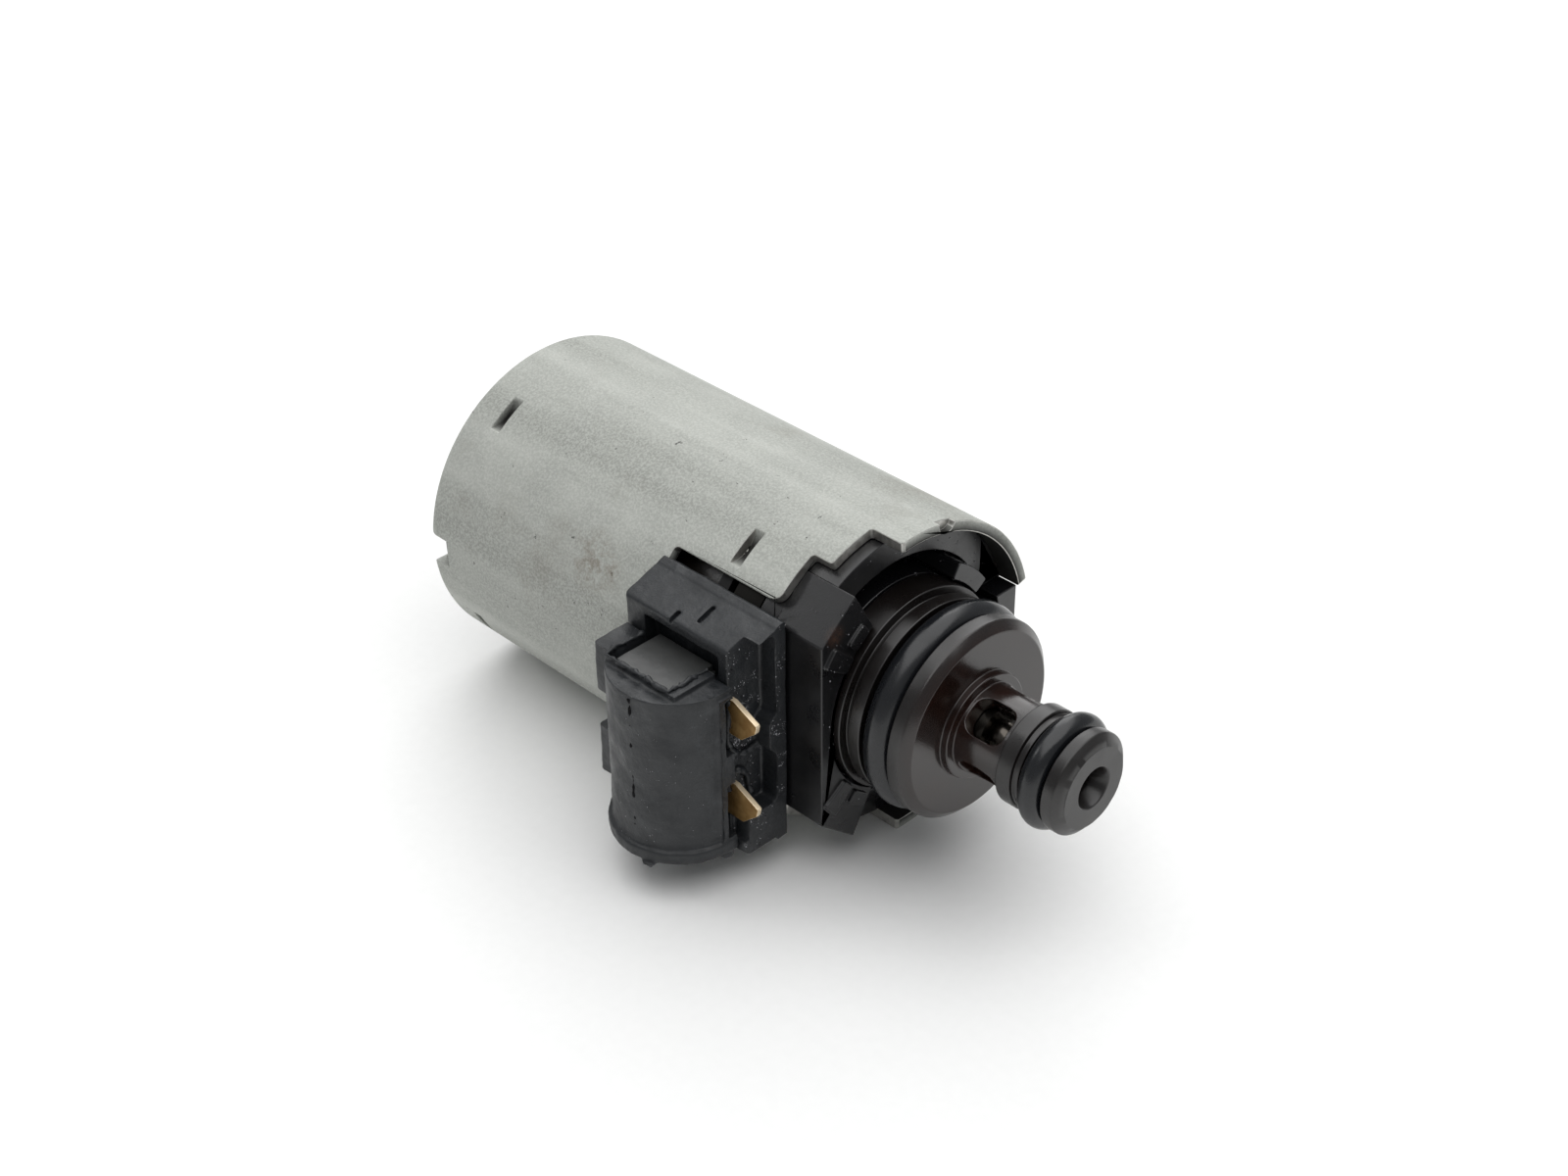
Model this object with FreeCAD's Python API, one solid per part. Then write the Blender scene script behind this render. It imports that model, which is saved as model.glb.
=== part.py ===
import FreeCAD, Part
import math
import os
from FreeCAD import Vector

# Transmission shift solenoid, in millimetres. X runs from the can's rear rim to the tip of the nose,
# Z is up, and the connector stands on the -Y side. Angles about X start at +Y and turn towards +Z,
# so the connector side is at 180 degrees.

# Fits
press_gap = 0.03
face_gap = 0.05
slide_gap = 0.05
pin_slide_gap = 0.04
stop_gap = 0.02

# Can: a drawn steel tube with a lip at the rear and a cut rim at the front
can_radius = 15.0
can_wall = 1.0
can_length = 46.1
rear_lip_depth = 0.9
rear_lip_width = 1.0
rear_corner = 0.8
rear_notch_width = 2.7
rear_notch_depth = 2.5
rear_notch_flare = 1.0

# Front rim of the can: a window for the connector, two steps beside it and a slot on the far side.
# Lengths are measured back from the rim, and half angles from the -Y side or, for the slot, the +Y side.
connector_side = 180.0
far_side = 0.0
window_length = 17.5
window_half_angle = 46.5
low_step_length = 5.5
low_step_half_angle = 65.5
high_step_length = 3.4
high_step_half_angle = 84.0
window_corner = 1.0
window_rear_corner = 0.4
step_corner = 0.3
far_slot_length = 5.1
far_slot_half_angle = 14.0
stake_radius = 0.95
stake_depth = 0.6
stake_angles = (75.0, -75.0)

# Bridge lances: strips of the can's wall pressed inwards to hold the steel plates
lance_half_angle = 7.0
lance_width = 1.1
lance_drop = 1.0
lance_strip = 0.9
rear_lance_angles = (33.0, 123.0, 213.0, 303.0)
front_lance_angles = (33.0, 123.0, 303.0)

# Steel plates that close the magnetic circuit
rear_plate_thickness = 2.55
rear_boss_radius = 6.0
rear_boss_chamfer = 0.3
tube_seat_depth = 1.5
front_plate_thickness = 3.0

# Bobbin and coil
bobbin_rear_room = 0.4
bobbin_front_room = 0.35
bobbin_side_room = 1.1
bobbin_flange = 1.2
bobbin_wall = 1.0
winding_inset = 0.7
tape_thickness = 0.23

# Guide tube, armature and fixed core
tube_radius = 6.0
tube_wall = 0.4
bumper_thickness = 2.0
bumper_hole_radius = 1.8
armature_length = 15.0
armature_recess_depth = 3.0
armature_chamfer = 0.4
oil_groove_radius = 0.9
stroke = 0.6
shim_thickness = 0.15
core_recess_depth = 6.0
core_nub = 1.0
spring_bore_radius = 3.2
spring_radius = 2.3
spring_wire = 0.6
spring_turns = 6.0
pin_radius = 1.0
pin_chamfer = 0.2
pin_seat_depth = 7.0
core_bore_radius = 1.5
bush_radius = 2.2
bush_length = 4.0

# Front flange: black moulding in the mouth of the can
flange_setback = 0.1
lug_rise = 2.1
flange_thickness = 5.35
flange_bore_wall = 1.0
trough_depth = 2.9
trough_share = 0.43
trough_half_angle = 117.0
collar_room = 0.05
flat_room = 0.15
flat_angle = 40.4
facet_angle = 60.9
facet_proud = 0.28
facet_round = 0.3
far_lug_room = 0.65
far_lug_half_height = 3.65
peg_margin = 0.2
peg_start_angle = 34.0
peg_end_angle = 59.0
pad_rise = 0.35
pad_round = 0.25
pad_round_share = 0.4
wide_pad = (123.0, 134.0, 0.09, 0.39)
long_pad = (137.5, 146.0, 0.05, 0.72)

# Nose: dark moulding with a flange, a disc, a caged neck and a tip. Lengths follow each other along X.
seal_room = 0.14
collar_gap = 0.15
collar_length = 2.55
collar_step = 0.27
waist_length = 0.6
waist_step = 0.58
ring_flange_length = 1.25
large_groove_room = 0.35
disc_radius = 9.08
ring_flange_step = 0.08
disc_band = 1.3
disc_bevel = 0.7
disc_bevel_height = 0.78
neck_base_length = 0.7
neck_base_height = 0.8
neck_radius = 4.0
neck_length = 4.9
land_length = 1.5
land_step = 0.1
tip_shoulder_length = 0.55
tip_shoulder_step = 0.45
small_groove_room = 0.5
tip_radius = 4.6
tip_band = 1.05
tip_bevel = 0.74
tip_bevel_height = 0.95
tip_hole_radius = 1.91
tip_cone_depth = 1.7
supply_bore_radius = 1.2
pin_passage_radius = 1.6
chamber_radius = 2.3

# Windows in the neck
neck_window_rear_wall = 0.4
neck_window_front_wall = 0.6
neck_window_width = 3.4
neck_window_corner = 1.1
neck_window_angle = 36.0
neck_window_count = 4

# O-rings
large_ring_section = 1.4
large_ring_proud = 0.42
small_ring_section = 1.1
small_ring_proud = 0.55
core_seal_section = 0.78

# Valve: a ball between two seats
ball_radius = 1.6
exhaust_seat_sink = 1.0
exhaust_seat_length = 3.0
exhaust_bore_radius = 1.3
supply_seat_length = 1.95

# Connector block in the window of the can
window_room = 0.4
block_length = 14.1
block_overlap = 0.5
block_seat = 0.575
block_proud = 0.95
ridge_clearance = 4.3
ridge_proud = 0.3
bead_width = 0.7
bead_rise = 0.12
rear_edge_drop = 0.2
front_edge_drop = 1.6
bottom_drop = 1.34
block_round = 0.5
saddle_room = 0.25
plate_room = 0.35

# Recess in the side of the block that faces the nose, with a rim and a bump on the rim
recess_depth = 1.8
recess_rim = 1.3
recess_top_wall = 0.7
recess_front_drop = 3.3
recess_bottom = -7.6
recess_mouth_bottom = -10.2
recess_round = 0.5
bump_width = 0.75
bump_top = 0.7
bump_bottom = -1.9

# Marks on the block: two narrow slots in its top, a foot at its lower rear corner and a nub in front
slot_width = 0.35
slot_depth = 0.6
short_slot_offset = -1.55
short_slot_length = 1.2
long_slot_offset = 0.65
long_slot_length = 1.9
long_slot_setback = 1.2
foot_width = 1.3
foot_drop = 0.5
nub_radius = 0.75
nub_drop = 1.5

# Half-round cap in front of the block
cap_offset = 0.75
cap_radius = 5.9
cap_top_drop = 3.06
cap_bottom_rise = 0.6
lip_proud = 0.45
lip_height = 1.4
lip_round = 0.35
gate_radius = 0.8
gate_drop = 1.0
gate_angle = 290.0
tab_setback = 0.4
tab_reach = 4.05
tab_height = 4.9
tab_centres = (3.6, -4.9)
mouth_setback = 0.9
mouth_width = 1.65
mouth_margin = 0.6
mouth_notch_width = 0.95
mouth_notch_depth = 1.7
mouth_notch_height = 5.4
mouth_notch_drop = 0.6

# Framed pocket in the top of the cap, with its lid and the part under it
pocket_rear_reach = 4.15
pocket_front_reach = 2.95
pocket_width = 3.5
pocket_sink = 1.35
pocket_top_wall = 1.06
frame_rise = 0.5
frame_rear_wall = 0.35
frame_front_wall = 1.15
frame_side_wall = 0.45
lid_rise = 0.05
lid_margin = 0.2
lid_foot = 0.5
diode_radius = 1.2
diode_length = 4.6
diode_depth = 2.8

# Terminals and coil leads
blade_setback = 0.25
blade_thickness = 0.5
blade_height = 3.5
blade_root_setback = 3.3
blade_shoulder_back = 1.1
blade_heel_back = 0.3
blade_reach = 1.53
blade_tip_height = 0.8
blade_tip_rise = 0.1
blade_tip_round = 0.2
blade_centres = (2.45, -6.15)
blade_cover = 0.25
leg_setback = 0.7
leg_width = 0.9
leg_height = 1.2
lead_radius = 0.35
slot_gap = 0.03

margin = 1.0
tiny = 0.01

# Radii and places across X that follow from the sizes above
can_bore = can_radius - can_wall
rear_lip_radius = can_bore - rear_lip_width
bobbin_flange_radius = can_bore - bobbin_side_room
winding_radius = bobbin_flange_radius - winding_inset
hub_radius = tube_radius + face_gap + bobbin_wall
tube_bore = tube_radius - tube_wall
armature_radius = tube_bore - slide_gap
core_radius = tube_bore - press_gap
saddle_radius = bobbin_flange_radius + saddle_room
flange_radius = can_bore - face_gap
flange_bore = tube_radius + flange_bore_wall
collar_radius = disc_radius + collar_step
waist_radius = disc_radius - waist_step
trough_inner_radius = collar_radius + collar_room
trough_outer_radius = trough_inner_radius + trough_share * (flange_radius - trough_inner_radius)
lug_inner_radius = trough_inner_radius + peg_margin
peg_outer_radius = trough_outer_radius - peg_margin
ring_flange_radius = disc_radius - ring_flange_step
disc_face_radius = disc_radius - disc_bevel_height
large_ring_outer = disc_radius + large_ring_proud
neck_base_radius = neck_radius + neck_base_height
land_radius = tip_radius - land_step
tip_shoulder_radius = tip_radius - tip_shoulder_step
tip_face_radius = tip_radius - tip_bevel_height
small_ring_outer = tip_radius + small_ring_proud

# The block's ridge stands a little proud of the can's surface, a little inside the window
ridge_turn = math.radians(window_half_angle - ridge_clearance)
ridge_radius = can_radius + ridge_proud
block_ridge_y = -ridge_radius * math.cos(ridge_turn)
block_ridge_z = ridge_radius * math.sin(ridge_turn)
block_rear_y = -can_radius * math.cos(math.radians(window_half_angle)) - block_seat
block_front_y = -can_radius - block_proud
block_rear_z = block_ridge_z - rear_edge_drop
block_front_z = block_ridge_z - front_edge_drop
bead_y = block_ridge_y - bead_width
bead_z = block_ridge_z - bead_width * front_edge_drop / (block_ridge_y - block_front_y)
block_bottom_z = -block_ridge_z - bottom_drop
front_plate_flat = -block_rear_y - plate_room
flat_y = block_rear_y + flat_room
flat_half_height = -flat_y * math.tan(math.radians(flat_angle))
facet_top_y = -(flange_radius + facet_proud) * math.cos(math.radians(facet_angle))
facet_top_z = (flange_radius + facet_proud) * math.sin(math.radians(facet_angle))
far_lug_y = can_bore - far_lug_room
cap_y = block_front_y - cap_offset
cap_top = block_front_z - cap_top_drop
cap_bottom = block_bottom_z + cap_bottom_rise
lip_radius = cap_radius + lip_proud
pocket_front_y = cap_y - pocket_width
pocket_rear_y = block_front_y + pocket_sink
pocket_floor = blade_centres[0] + blade_height / 2 + blade_cover
lid_top = cap_top + lid_rise
diode_y = (pocket_front_y + block_front_y) / 2
diode_cavity_floor = pocket_floor - diode_depth
blade_y = block_front_y + blade_setback

# Places along X that follow from the sizes above, from the rear lip forwards and from the front rim back
rear_plate_end = rear_lip_depth + rear_plate_thickness
rear_lance_start = rear_plate_end + face_gap
bobbin_start = rear_lance_start + lance_width + bobbin_rear_room
window_start = can_length - window_length
low_step_start = can_length - low_step_length
high_step_start = can_length - high_step_length
far_slot_start = can_length - far_slot_length
flange_front = can_length - flange_setback
flange_face = flange_front - lug_rise
flange_start = flange_face - flange_thickness
trough_floor = flange_face - trough_depth
front_plate_end = flange_start - face_gap
front_plate_start = front_plate_end - front_plate_thickness
front_lance_start = front_plate_start - face_gap - lance_width
bobbin_end = front_lance_start - bobbin_front_room
tube_start = rear_plate_end - tube_seat_depth + press_gap
bumper_end = tube_start + bumper_thickness
armature_start = bumper_end + stop_gap
armature_end = armature_start + armature_length
shim_start = armature_end + stroke + stop_gap
core_start = shim_start + shim_thickness + stop_gap
core_end = front_plate_end + core_nub

# Nose
tail_start = core_end + 2 * core_seal_section + seal_room
collar_start = flange_face + collar_gap
collar_end = collar_start + collar_length
waist_end = collar_end + waist_length
large_groove_start = waist_end + ring_flange_length
large_groove_end = large_groove_start + 2 * large_ring_section + large_groove_room
disc_band_end = large_groove_end + disc_band
disc_end = disc_band_end + disc_bevel
neck_base_end = disc_end + neck_base_length
neck_end = neck_base_end + neck_length
land_end = neck_end + land_length
small_groove_start = land_end + tip_shoulder_length
small_groove_end = small_groove_start + 2 * small_ring_section + small_groove_room
tip_band_end = small_groove_end + tip_band
nose_end = tip_band_end + tip_bevel

# Valve
exhaust_seat_start = disc_end - exhaust_seat_sink
exhaust_seat_face = exhaust_seat_start + exhaust_seat_length
ball_seat_reach = math.sqrt(ball_radius ** 2 - exhaust_bore_radius ** 2)
ball_x = exhaust_seat_face + ball_seat_reach + stop_gap
supply_reach = math.sqrt(ball_radius ** 2 - supply_bore_radius ** 2)
supply_seat_start = ball_x + stroke + supply_reach + stop_gap
supply_seat_end = supply_seat_start + supply_seat_length
pin_end = ball_x - ball_radius - stop_gap
pin_start = armature_end - armature_recess_depth - pin_seat_depth

# Connector
block_start = window_start - block_overlap
block_end = block_start + block_length
cap_x = (block_start + block_end) / 2
tab_start = block_start + tab_setback
mouth_end = block_end - mouth_setback
mouth_notch_floor = mouth_end - mouth_notch_depth
pocket_start = cap_x - pocket_rear_reach
pocket_end = cap_x + pocket_front_reach
blade_root = block_start + blade_root_setback
blade_shoulder = block_end - blade_shoulder_back
blade_heel = block_end - blade_heel_back
blade_tip = block_end + blade_reach
leg_x = blade_root + leg_setback


def on_ring(angle, radius, x=0.0):
    """Point at an angle and radius about the X axis."""
    turn = math.radians(angle)
    return Vector(x, radius * math.cos(turn), radius * math.sin(turn))


def ring(x0, x1, outer, inner=0.0):
    """Round piece about the X axis, with a bore if inner is given."""
    body = Part.makeCylinder(outer, x1 - x0, Vector(x0, 0, 0), Vector(1, 0, 0))
    if inner > 0:
        bore = Part.makeCylinder(inner, x1 - x0 + 2 * margin, Vector(x0 - margin, 0, 0), Vector(1, 0, 0))
        body = body.cut(bore)
    return body


def turned(corners):
    """Solid turned about the X axis from (x, radius) corners."""
    points = [Vector(x, 0, radius) for x, radius in corners]
    face = Part.Face(Part.makePolygon(points + points[:1]))
    return face.revolve(Vector(0, 0, 0), Vector(1, 0, 0), 360)


def sector(x0, x1, inner, outer, start, end):
    """Block between two radii and two angles about the X axis."""
    middle = (start + end) / 2
    far_arc = Part.Arc(on_ring(start, outer, x0), on_ring(middle, outer, x0), on_ring(end, outer, x0))
    if inner > 0:
        near_arc = Part.Arc(on_ring(end, inner, x0), on_ring(middle, inner, x0), on_ring(start, inner, x0))
        edges = [
            far_arc.toShape(),
            Part.makeLine(on_ring(end, outer, x0), on_ring(end, inner, x0)),
            near_arc.toShape(),
            Part.makeLine(on_ring(start, inner, x0), on_ring(start, outer, x0)),
        ]
    else:
        centre = Vector(x0, 0, 0)
        edges = [
            far_arc.toShape(),
            Part.makeLine(on_ring(end, outer, x0), centre),
            Part.makeLine(centre, on_ring(start, outer, x0)),
        ]
    return Part.Face(Part.Wire(edges)).extrude(Vector(x1 - x0, 0, 0))


def box(x0, x1, y0, y1, z0, z1):
    """Box between two corners."""
    return Part.makeBox(x1 - x0, y1 - y0, z1 - z0, Vector(x0, y0, z0))


def rounded(shape, radius, wanted):
    """Shape with every edge that passes the test rounded."""
    edges = [edge for edge in shape.Edges if wanted(edge)]
    return shape.makeFillet(radius, edges)


def runs_along(edge, axis):
    """Whether an edge is straight and runs along an axis."""
    if not isinstance(edge.Curve, Part.Line):
        return False
    return abs(edge.tangentAt(edge.FirstParameter).dot(axis)) > 0.999


def chord_y(radius, z):
    """Y of the -Y side of a round piece about X, at a height."""
    return -math.sqrt(radius ** 2 - z ** 2)


def lance(x0, angle):
    """Slot cutter and bowed strip of one bridge lance."""
    half_width = can_radius * math.sin(math.radians(lance_half_angle))
    inside = can_bore - margin
    outside = can_radius + margin
    slot = sector(x0, x0 + lance_width, inside, outside, -lance_half_angle, lance_half_angle)
    sag_y = can_radius * math.cos(math.radians(lance_half_angle))
    low_y = can_radius - lance_drop
    outer_arc = Part.Arc(Vector(x0, sag_y, -half_width), Vector(x0, low_y, 0), Vector(x0, sag_y, half_width))
    inner_arc = Part.Arc(
        Vector(x0, sag_y - lance_strip, half_width),
        Vector(x0, low_y - lance_strip, 0),
        Vector(x0, sag_y - lance_strip, -half_width),
    )
    edges = [
        outer_arc.toShape(),
        Part.makeLine(Vector(x0, sag_y, half_width), Vector(x0, sag_y - lance_strip, half_width)),
        inner_arc.toShape(),
        Part.makeLine(Vector(x0, sag_y - lance_strip, -half_width), Vector(x0, sag_y, -half_width)),
    ]
    strip = Part.Face(Part.Wire(edges)).extrude(Vector(lance_width, 0, 0))
    for piece in (slot, strip):
        piece.rotate(Vector(0, 0, 0), Vector(1, 0, 0), angle)
    return slot, strip


def can_shell():
    """Steel can with its lip, window, stepped rim, lances and rear notch."""
    corner_low = Vector(0, 0, can_radius - rear_corner)
    corner_high = Vector(rear_corner, 0, can_radius)
    bulge = rear_corner * (1 - math.sqrt(0.5))
    corner_middle = Vector(bulge, 0, can_radius - bulge)
    points = [
        corner_high,
        Vector(can_length, 0, can_radius),
        Vector(can_length, 0, can_bore),
        Vector(rear_lip_depth, 0, can_bore),
        Vector(rear_lip_depth, 0, rear_lip_radius),
        Vector(0, 0, rear_lip_radius),
        corner_low,
    ]
    edges = [Part.makeLine(a, b) for a, b in zip(points, points[1:])]
    edges.append(Part.Arc(corner_low, corner_middle, corner_high).toShape())
    body = Part.Face(Part.Wire(edges)).revolve(Vector(0, 0, 0), Vector(1, 0, 0), 360)

    front = can_length + margin
    outside = can_radius + margin
    cuts = (
        (window_start, connector_side, window_half_angle),
        (low_step_start, connector_side, low_step_half_angle),
        (high_step_start, connector_side, high_step_half_angle),
        (far_slot_start, far_side, far_slot_half_angle),
    )
    for start, centre, half in cuts:
        body = body.cut(sector(start, front, 0, outside, centre - half, centre + half))

    def rim_corner(edge):
        """Short radial edge at a corner of the window, a step or the slot."""
        radial = on_ring(math.degrees(math.atan2(edge.CenterOfMass.z, edge.CenterOfMass.y)), 1.0)
        return runs_along(edge, radial) and window_start - tiny < edge.CenterOfMass.x < can_length + tiny

    def window_rear(edge):
        """Corner at the rear end of the window."""
        return rim_corner(edge) and edge.CenterOfMass.x < window_start + tiny

    def window_side(edge):
        """Corner where a side of the window meets a step, which has the larger radius."""
        angle = math.degrees(math.atan2(edge.CenterOfMass.z, -edge.CenterOfMass.y))
        in_line = abs(abs(angle) - window_half_angle) < window_corner
        return rim_corner(edge) and in_line and not window_rear(edge)

    def step_side(edge):
        """Corner of a step or of the slot on the far side."""
        return rim_corner(edge) and edge.CenterOfMass.x > low_step_start - tiny

    body = rounded(body, window_rear_corner, window_rear)
    body = rounded(body, window_corner, window_side)
    body = rounded(body, step_corner, step_side)

    for angle in stake_angles:
        centre = on_ring(angle, can_radius, can_length - stake_depth)
        body = body.cut(Part.makeCylinder(stake_radius, stake_depth + margin, centre, Vector(1, 0, 0)))

    rows = ((rear_lance_start, rear_lance_angles), (front_lance_start, front_lance_angles))
    for start, angles in rows:
        for angle in angles:
            slot, strip = lance(start, angle)
            body = body.cut(slot).fuse(strip)

    return body.cut(rear_notch())


def rear_notch():
    """Cutter of the notch in the rear rim, with flared lips."""
    half = rear_notch_width / 2
    wide = half + rear_notch_flare
    reach = -can_radius - margin
    inset = rear_notch_flare * (1 - math.sqrt(0.5))
    bend = half + inset
    upper_flare = Vector(rear_notch_flare, reach, half)
    lower_flare = Vector(rear_notch_flare, reach, -half)
    upper_end = Vector(0, reach, wide)
    lower_end = Vector(0, reach, -wide)
    floor = [
        upper_flare,
        Vector(rear_notch_depth, reach, half),
        Vector(rear_notch_depth, reach, -half),
        lower_flare,
    ]
    mouth = [lower_end, Vector(-margin, reach, -wide), Vector(-margin, reach, wide), upper_end]
    edges = [Part.Arc(upper_end, Vector(inset, reach, bend), upper_flare).toShape()]
    edges += [Part.makeLine(a, b) for a, b in zip(floor, floor[1:])]
    edges.append(Part.Arc(lower_flare, Vector(inset, reach, -bend), lower_end).toShape())
    edges += [Part.makeLine(a, b) for a, b in zip(mouth, mouth[1:])]
    length = can_radius + margin - rear_lip_radius + margin
    return Part.Face(Part.Wire(edges)).extrude(Vector(0, length, 0))


def rear_plate():
    """Steel plate behind the coil, with a boss level with the can's rim."""
    return turned(
        [
            (0, 0),
            (0, rear_boss_radius - rear_boss_chamfer),
            (rear_boss_chamfer, rear_boss_radius),
            (rear_lip_depth + face_gap, rear_boss_radius),
            (rear_lip_depth + face_gap, can_bore - press_gap),
            (rear_plate_end, can_bore - press_gap),
            (rear_plate_end, tube_radius + press_gap),
            (rear_plate_end - tube_seat_depth, tube_radius + press_gap),
            (rear_plate_end - tube_seat_depth, 0),
        ]
    )


def front_plate():
    """Steel plate in front of the coil, flat on the connector side."""
    body = ring(front_plate_start, front_plate_end, can_bore - press_gap, tube_bore)
    side = box(
        front_plate_start - margin,
        front_plate_end + margin,
        -can_radius - margin,
        -front_plate_flat,
        -can_radius,
        can_radius,
    )
    return body.cut(side)


def bobbin():
    """Moulded spool with two flanges."""
    bore = tube_radius + face_gap
    hub = ring(bobbin_start, bobbin_end, hub_radius, bore)
    rear = ring(bobbin_start, bobbin_start + bobbin_flange, bobbin_flange_radius, bore)
    front = ring(bobbin_end - bobbin_flange, bobbin_end, bobbin_flange_radius, bore)
    return hub.fuse([rear, front]).removeSplitter()


def coil_winding():
    """Copper winding between the flanges of the bobbin."""
    start = bobbin_start + bobbin_flange + face_gap
    end = bobbin_end - bobbin_flange - face_gap
    return ring(start, end, winding_radius, hub_radius + press_gap)


def winding_tape():
    """Tape round the winding."""
    start = bobbin_start + bobbin_flange + face_gap
    end = bobbin_end - bobbin_flange - face_gap
    return ring(start, end, winding_radius + press_gap + tape_thickness, winding_radius + press_gap)


def guide_tube():
    """Non-magnetic tube from the rear plate to the front plate."""
    return ring(tube_start, front_plate_start - face_gap, tube_radius, tube_bore)


def rear_bumper():
    """Brass stop behind the armature."""
    return ring(tube_start, bumper_end, tube_bore - press_gap, bumper_hole_radius)


def armature():
    """Sliding steel plunger with a spring recess, a pin bore and two oil grooves."""
    recess_floor = armature_end - armature_recess_depth
    body = turned(
        [
            (armature_start, 0),
            (armature_start, armature_radius - armature_chamfer),
            (armature_start + armature_chamfer, armature_radius),
            (armature_end - armature_chamfer, armature_radius),
            (armature_end, armature_radius - armature_chamfer),
            (armature_end, spring_bore_radius),
            (recess_floor, spring_bore_radius),
            (recess_floor, pin_radius),
            (pin_start, pin_radius),
            (pin_start, 0),
        ]
    )
    for side in (90.0, 270.0):
        centre = on_ring(side, armature_radius, armature_start - margin)
        groove = Part.makeCylinder(oil_groove_radius, armature_length + 2 * margin, centre, Vector(1, 0, 0))
        body = body.cut(groove)
    return body


def push_pin():
    """Pin pressed in the armature, which reaches to the ball."""
    return turned(
        [
            (pin_start + press_gap, 0),
            (pin_start + press_gap, pin_radius),
            (pin_end - pin_chamfer, pin_radius),
            (pin_end, pin_radius - pin_chamfer),
            (pin_end, 0),
        ]
    )


def shim_washer():
    """Thin non-magnetic washer on the face of the fixed core."""
    return ring(shim_start, shim_start + shim_thickness, armature_radius, spring_bore_radius)


def fixed_core():
    """Pole piece with a spring recess, a pin passage and a seat for the bush."""
    bush_start = core_end - bush_length
    return turned(
        [
            (core_start, spring_bore_radius),
            (core_start, core_radius),
            (core_end, core_radius),
            (core_end, bush_radius + press_gap),
            (bush_start - press_gap, bush_radius + press_gap),
            (bush_start - press_gap, core_bore_radius),
            (core_start + core_recess_depth, core_bore_radius),
            (core_start + core_recess_depth, spring_bore_radius),
        ]
    )


def pin_bush():
    """Bush that guides the pin."""
    return ring(core_end - bush_length, core_end, bush_radius, pin_radius + pin_slide_gap)


def return_spring():
    """Compression spring between the armature and the fixed core."""
    wire = spring_wire / 2
    start = armature_end - armature_recess_depth + wire + press_gap
    end = core_start + core_recess_depth - wire - press_gap
    pitch = (end - start) / spring_turns
    path = Part.makeHelix(pitch, end - start, spring_radius)
    profile = Part.Wire(Part.Circle(Vector(spring_radius, 0, 0), Vector(0, 1, 0), wire).toShape())
    body = Part.Wire(path.Edges).makePipeShell([profile], True, True)
    body.rotate(Vector(0, 0, 0), Vector(0, 1, 0), 90)
    body.translate(Vector(start, 0, 0))
    return body


def prism(points, x0, x1):
    """Straight piece along X from (y, z) corners."""
    corners = [Vector(x0, y, z) for y, z in points]
    return Part.Face(Part.makePolygon(corners + corners[:1])).extrude(Vector(x1 - x0, 0, 0))


def front_flange():
    """Black moulding in the can's mouth, with a faceted side, a far lug and an oil trough."""
    reach = 2 * can_radius
    facet_slope = facet_top_y / facet_top_z
    side = [
        (0, 0),
        (facet_top_y, facet_top_z),
        (flat_y, flat_half_height),
        (flat_y, -flat_half_height),
        (facet_top_y, -facet_top_z),
    ]
    outline = side[1:] + [
        (reach * facet_slope, -reach),
        (reach, -reach),
        (reach, reach),
        (reach * facet_slope, reach),
    ]
    base = ring(flange_start, flange_face, flange_radius).common(prism(outline, flange_start, flange_face))
    near_lug = prism(side, low_step_start + face_gap, flange_front)
    far_lug = box(flange_start, flange_front, 0, far_lug_y, -far_lug_half_height, far_lug_half_height)
    body = base.fuse([near_lug, far_lug]).removeSplitter()
    body = rounded(
        body,
        facet_round,
        lambda edge: runs_along(edge, Vector(1, 0, 0)) and edge.CenterOfMass.y < flat_y + tiny,
    )
    body = body.cut(ring(flange_face, flange_front + margin, lug_inner_radius))
    top = flange_front + margin
    for start, end in ((-trough_half_angle, -far_slot_half_angle), (far_slot_half_angle, trough_half_angle)):
        body = body.cut(sector(trough_floor, top, trough_inner_radius, trough_outer_radius, start, end))
    for mirror in (1, -1):
        body = body.fuse(flange_peg(mirror))
        for pad in (wide_pad, long_pad):
            body = body.fuse(lug_pad(mirror, *pad))
    return body.cut(ring(flange_start - margin, flange_front + margin, flange_bore)).removeSplitter()


def flange_peg(mirror):
    """Peg that stands in the oil trough, above or below the middle."""
    start, end = sorted((mirror * peg_start_angle, mirror * peg_end_angle))
    inner = trough_inner_radius + peg_margin
    corner = min(pad_round, pad_round_share * (peg_outer_radius - inner))
    peg = sector(trough_floor - press_gap, flange_front, inner, peg_outer_radius, start, end)
    return rounded(peg, corner, lambda edge: runs_along(edge, Vector(1, 0, 0)))


def lug_pad(mirror, start, end, inner_share, outer_share):
    """Small raised pad on the front of the faceted side, placed by shares of the lug's width."""
    low, high = sorted((mirror * start, mirror * end))
    width = flange_radius - lug_inner_radius
    inner = lug_inner_radius + inner_share * width
    outer = lug_inner_radius + outer_share * width
    corner = min(pad_round, pad_round_share * (outer - inner))
    pad = sector(flange_front - press_gap, flange_front + pad_rise, inner, outer, low, high)
    return rounded(pad, corner, lambda edge: runs_along(edge, Vector(1, 0, 0)))


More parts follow.
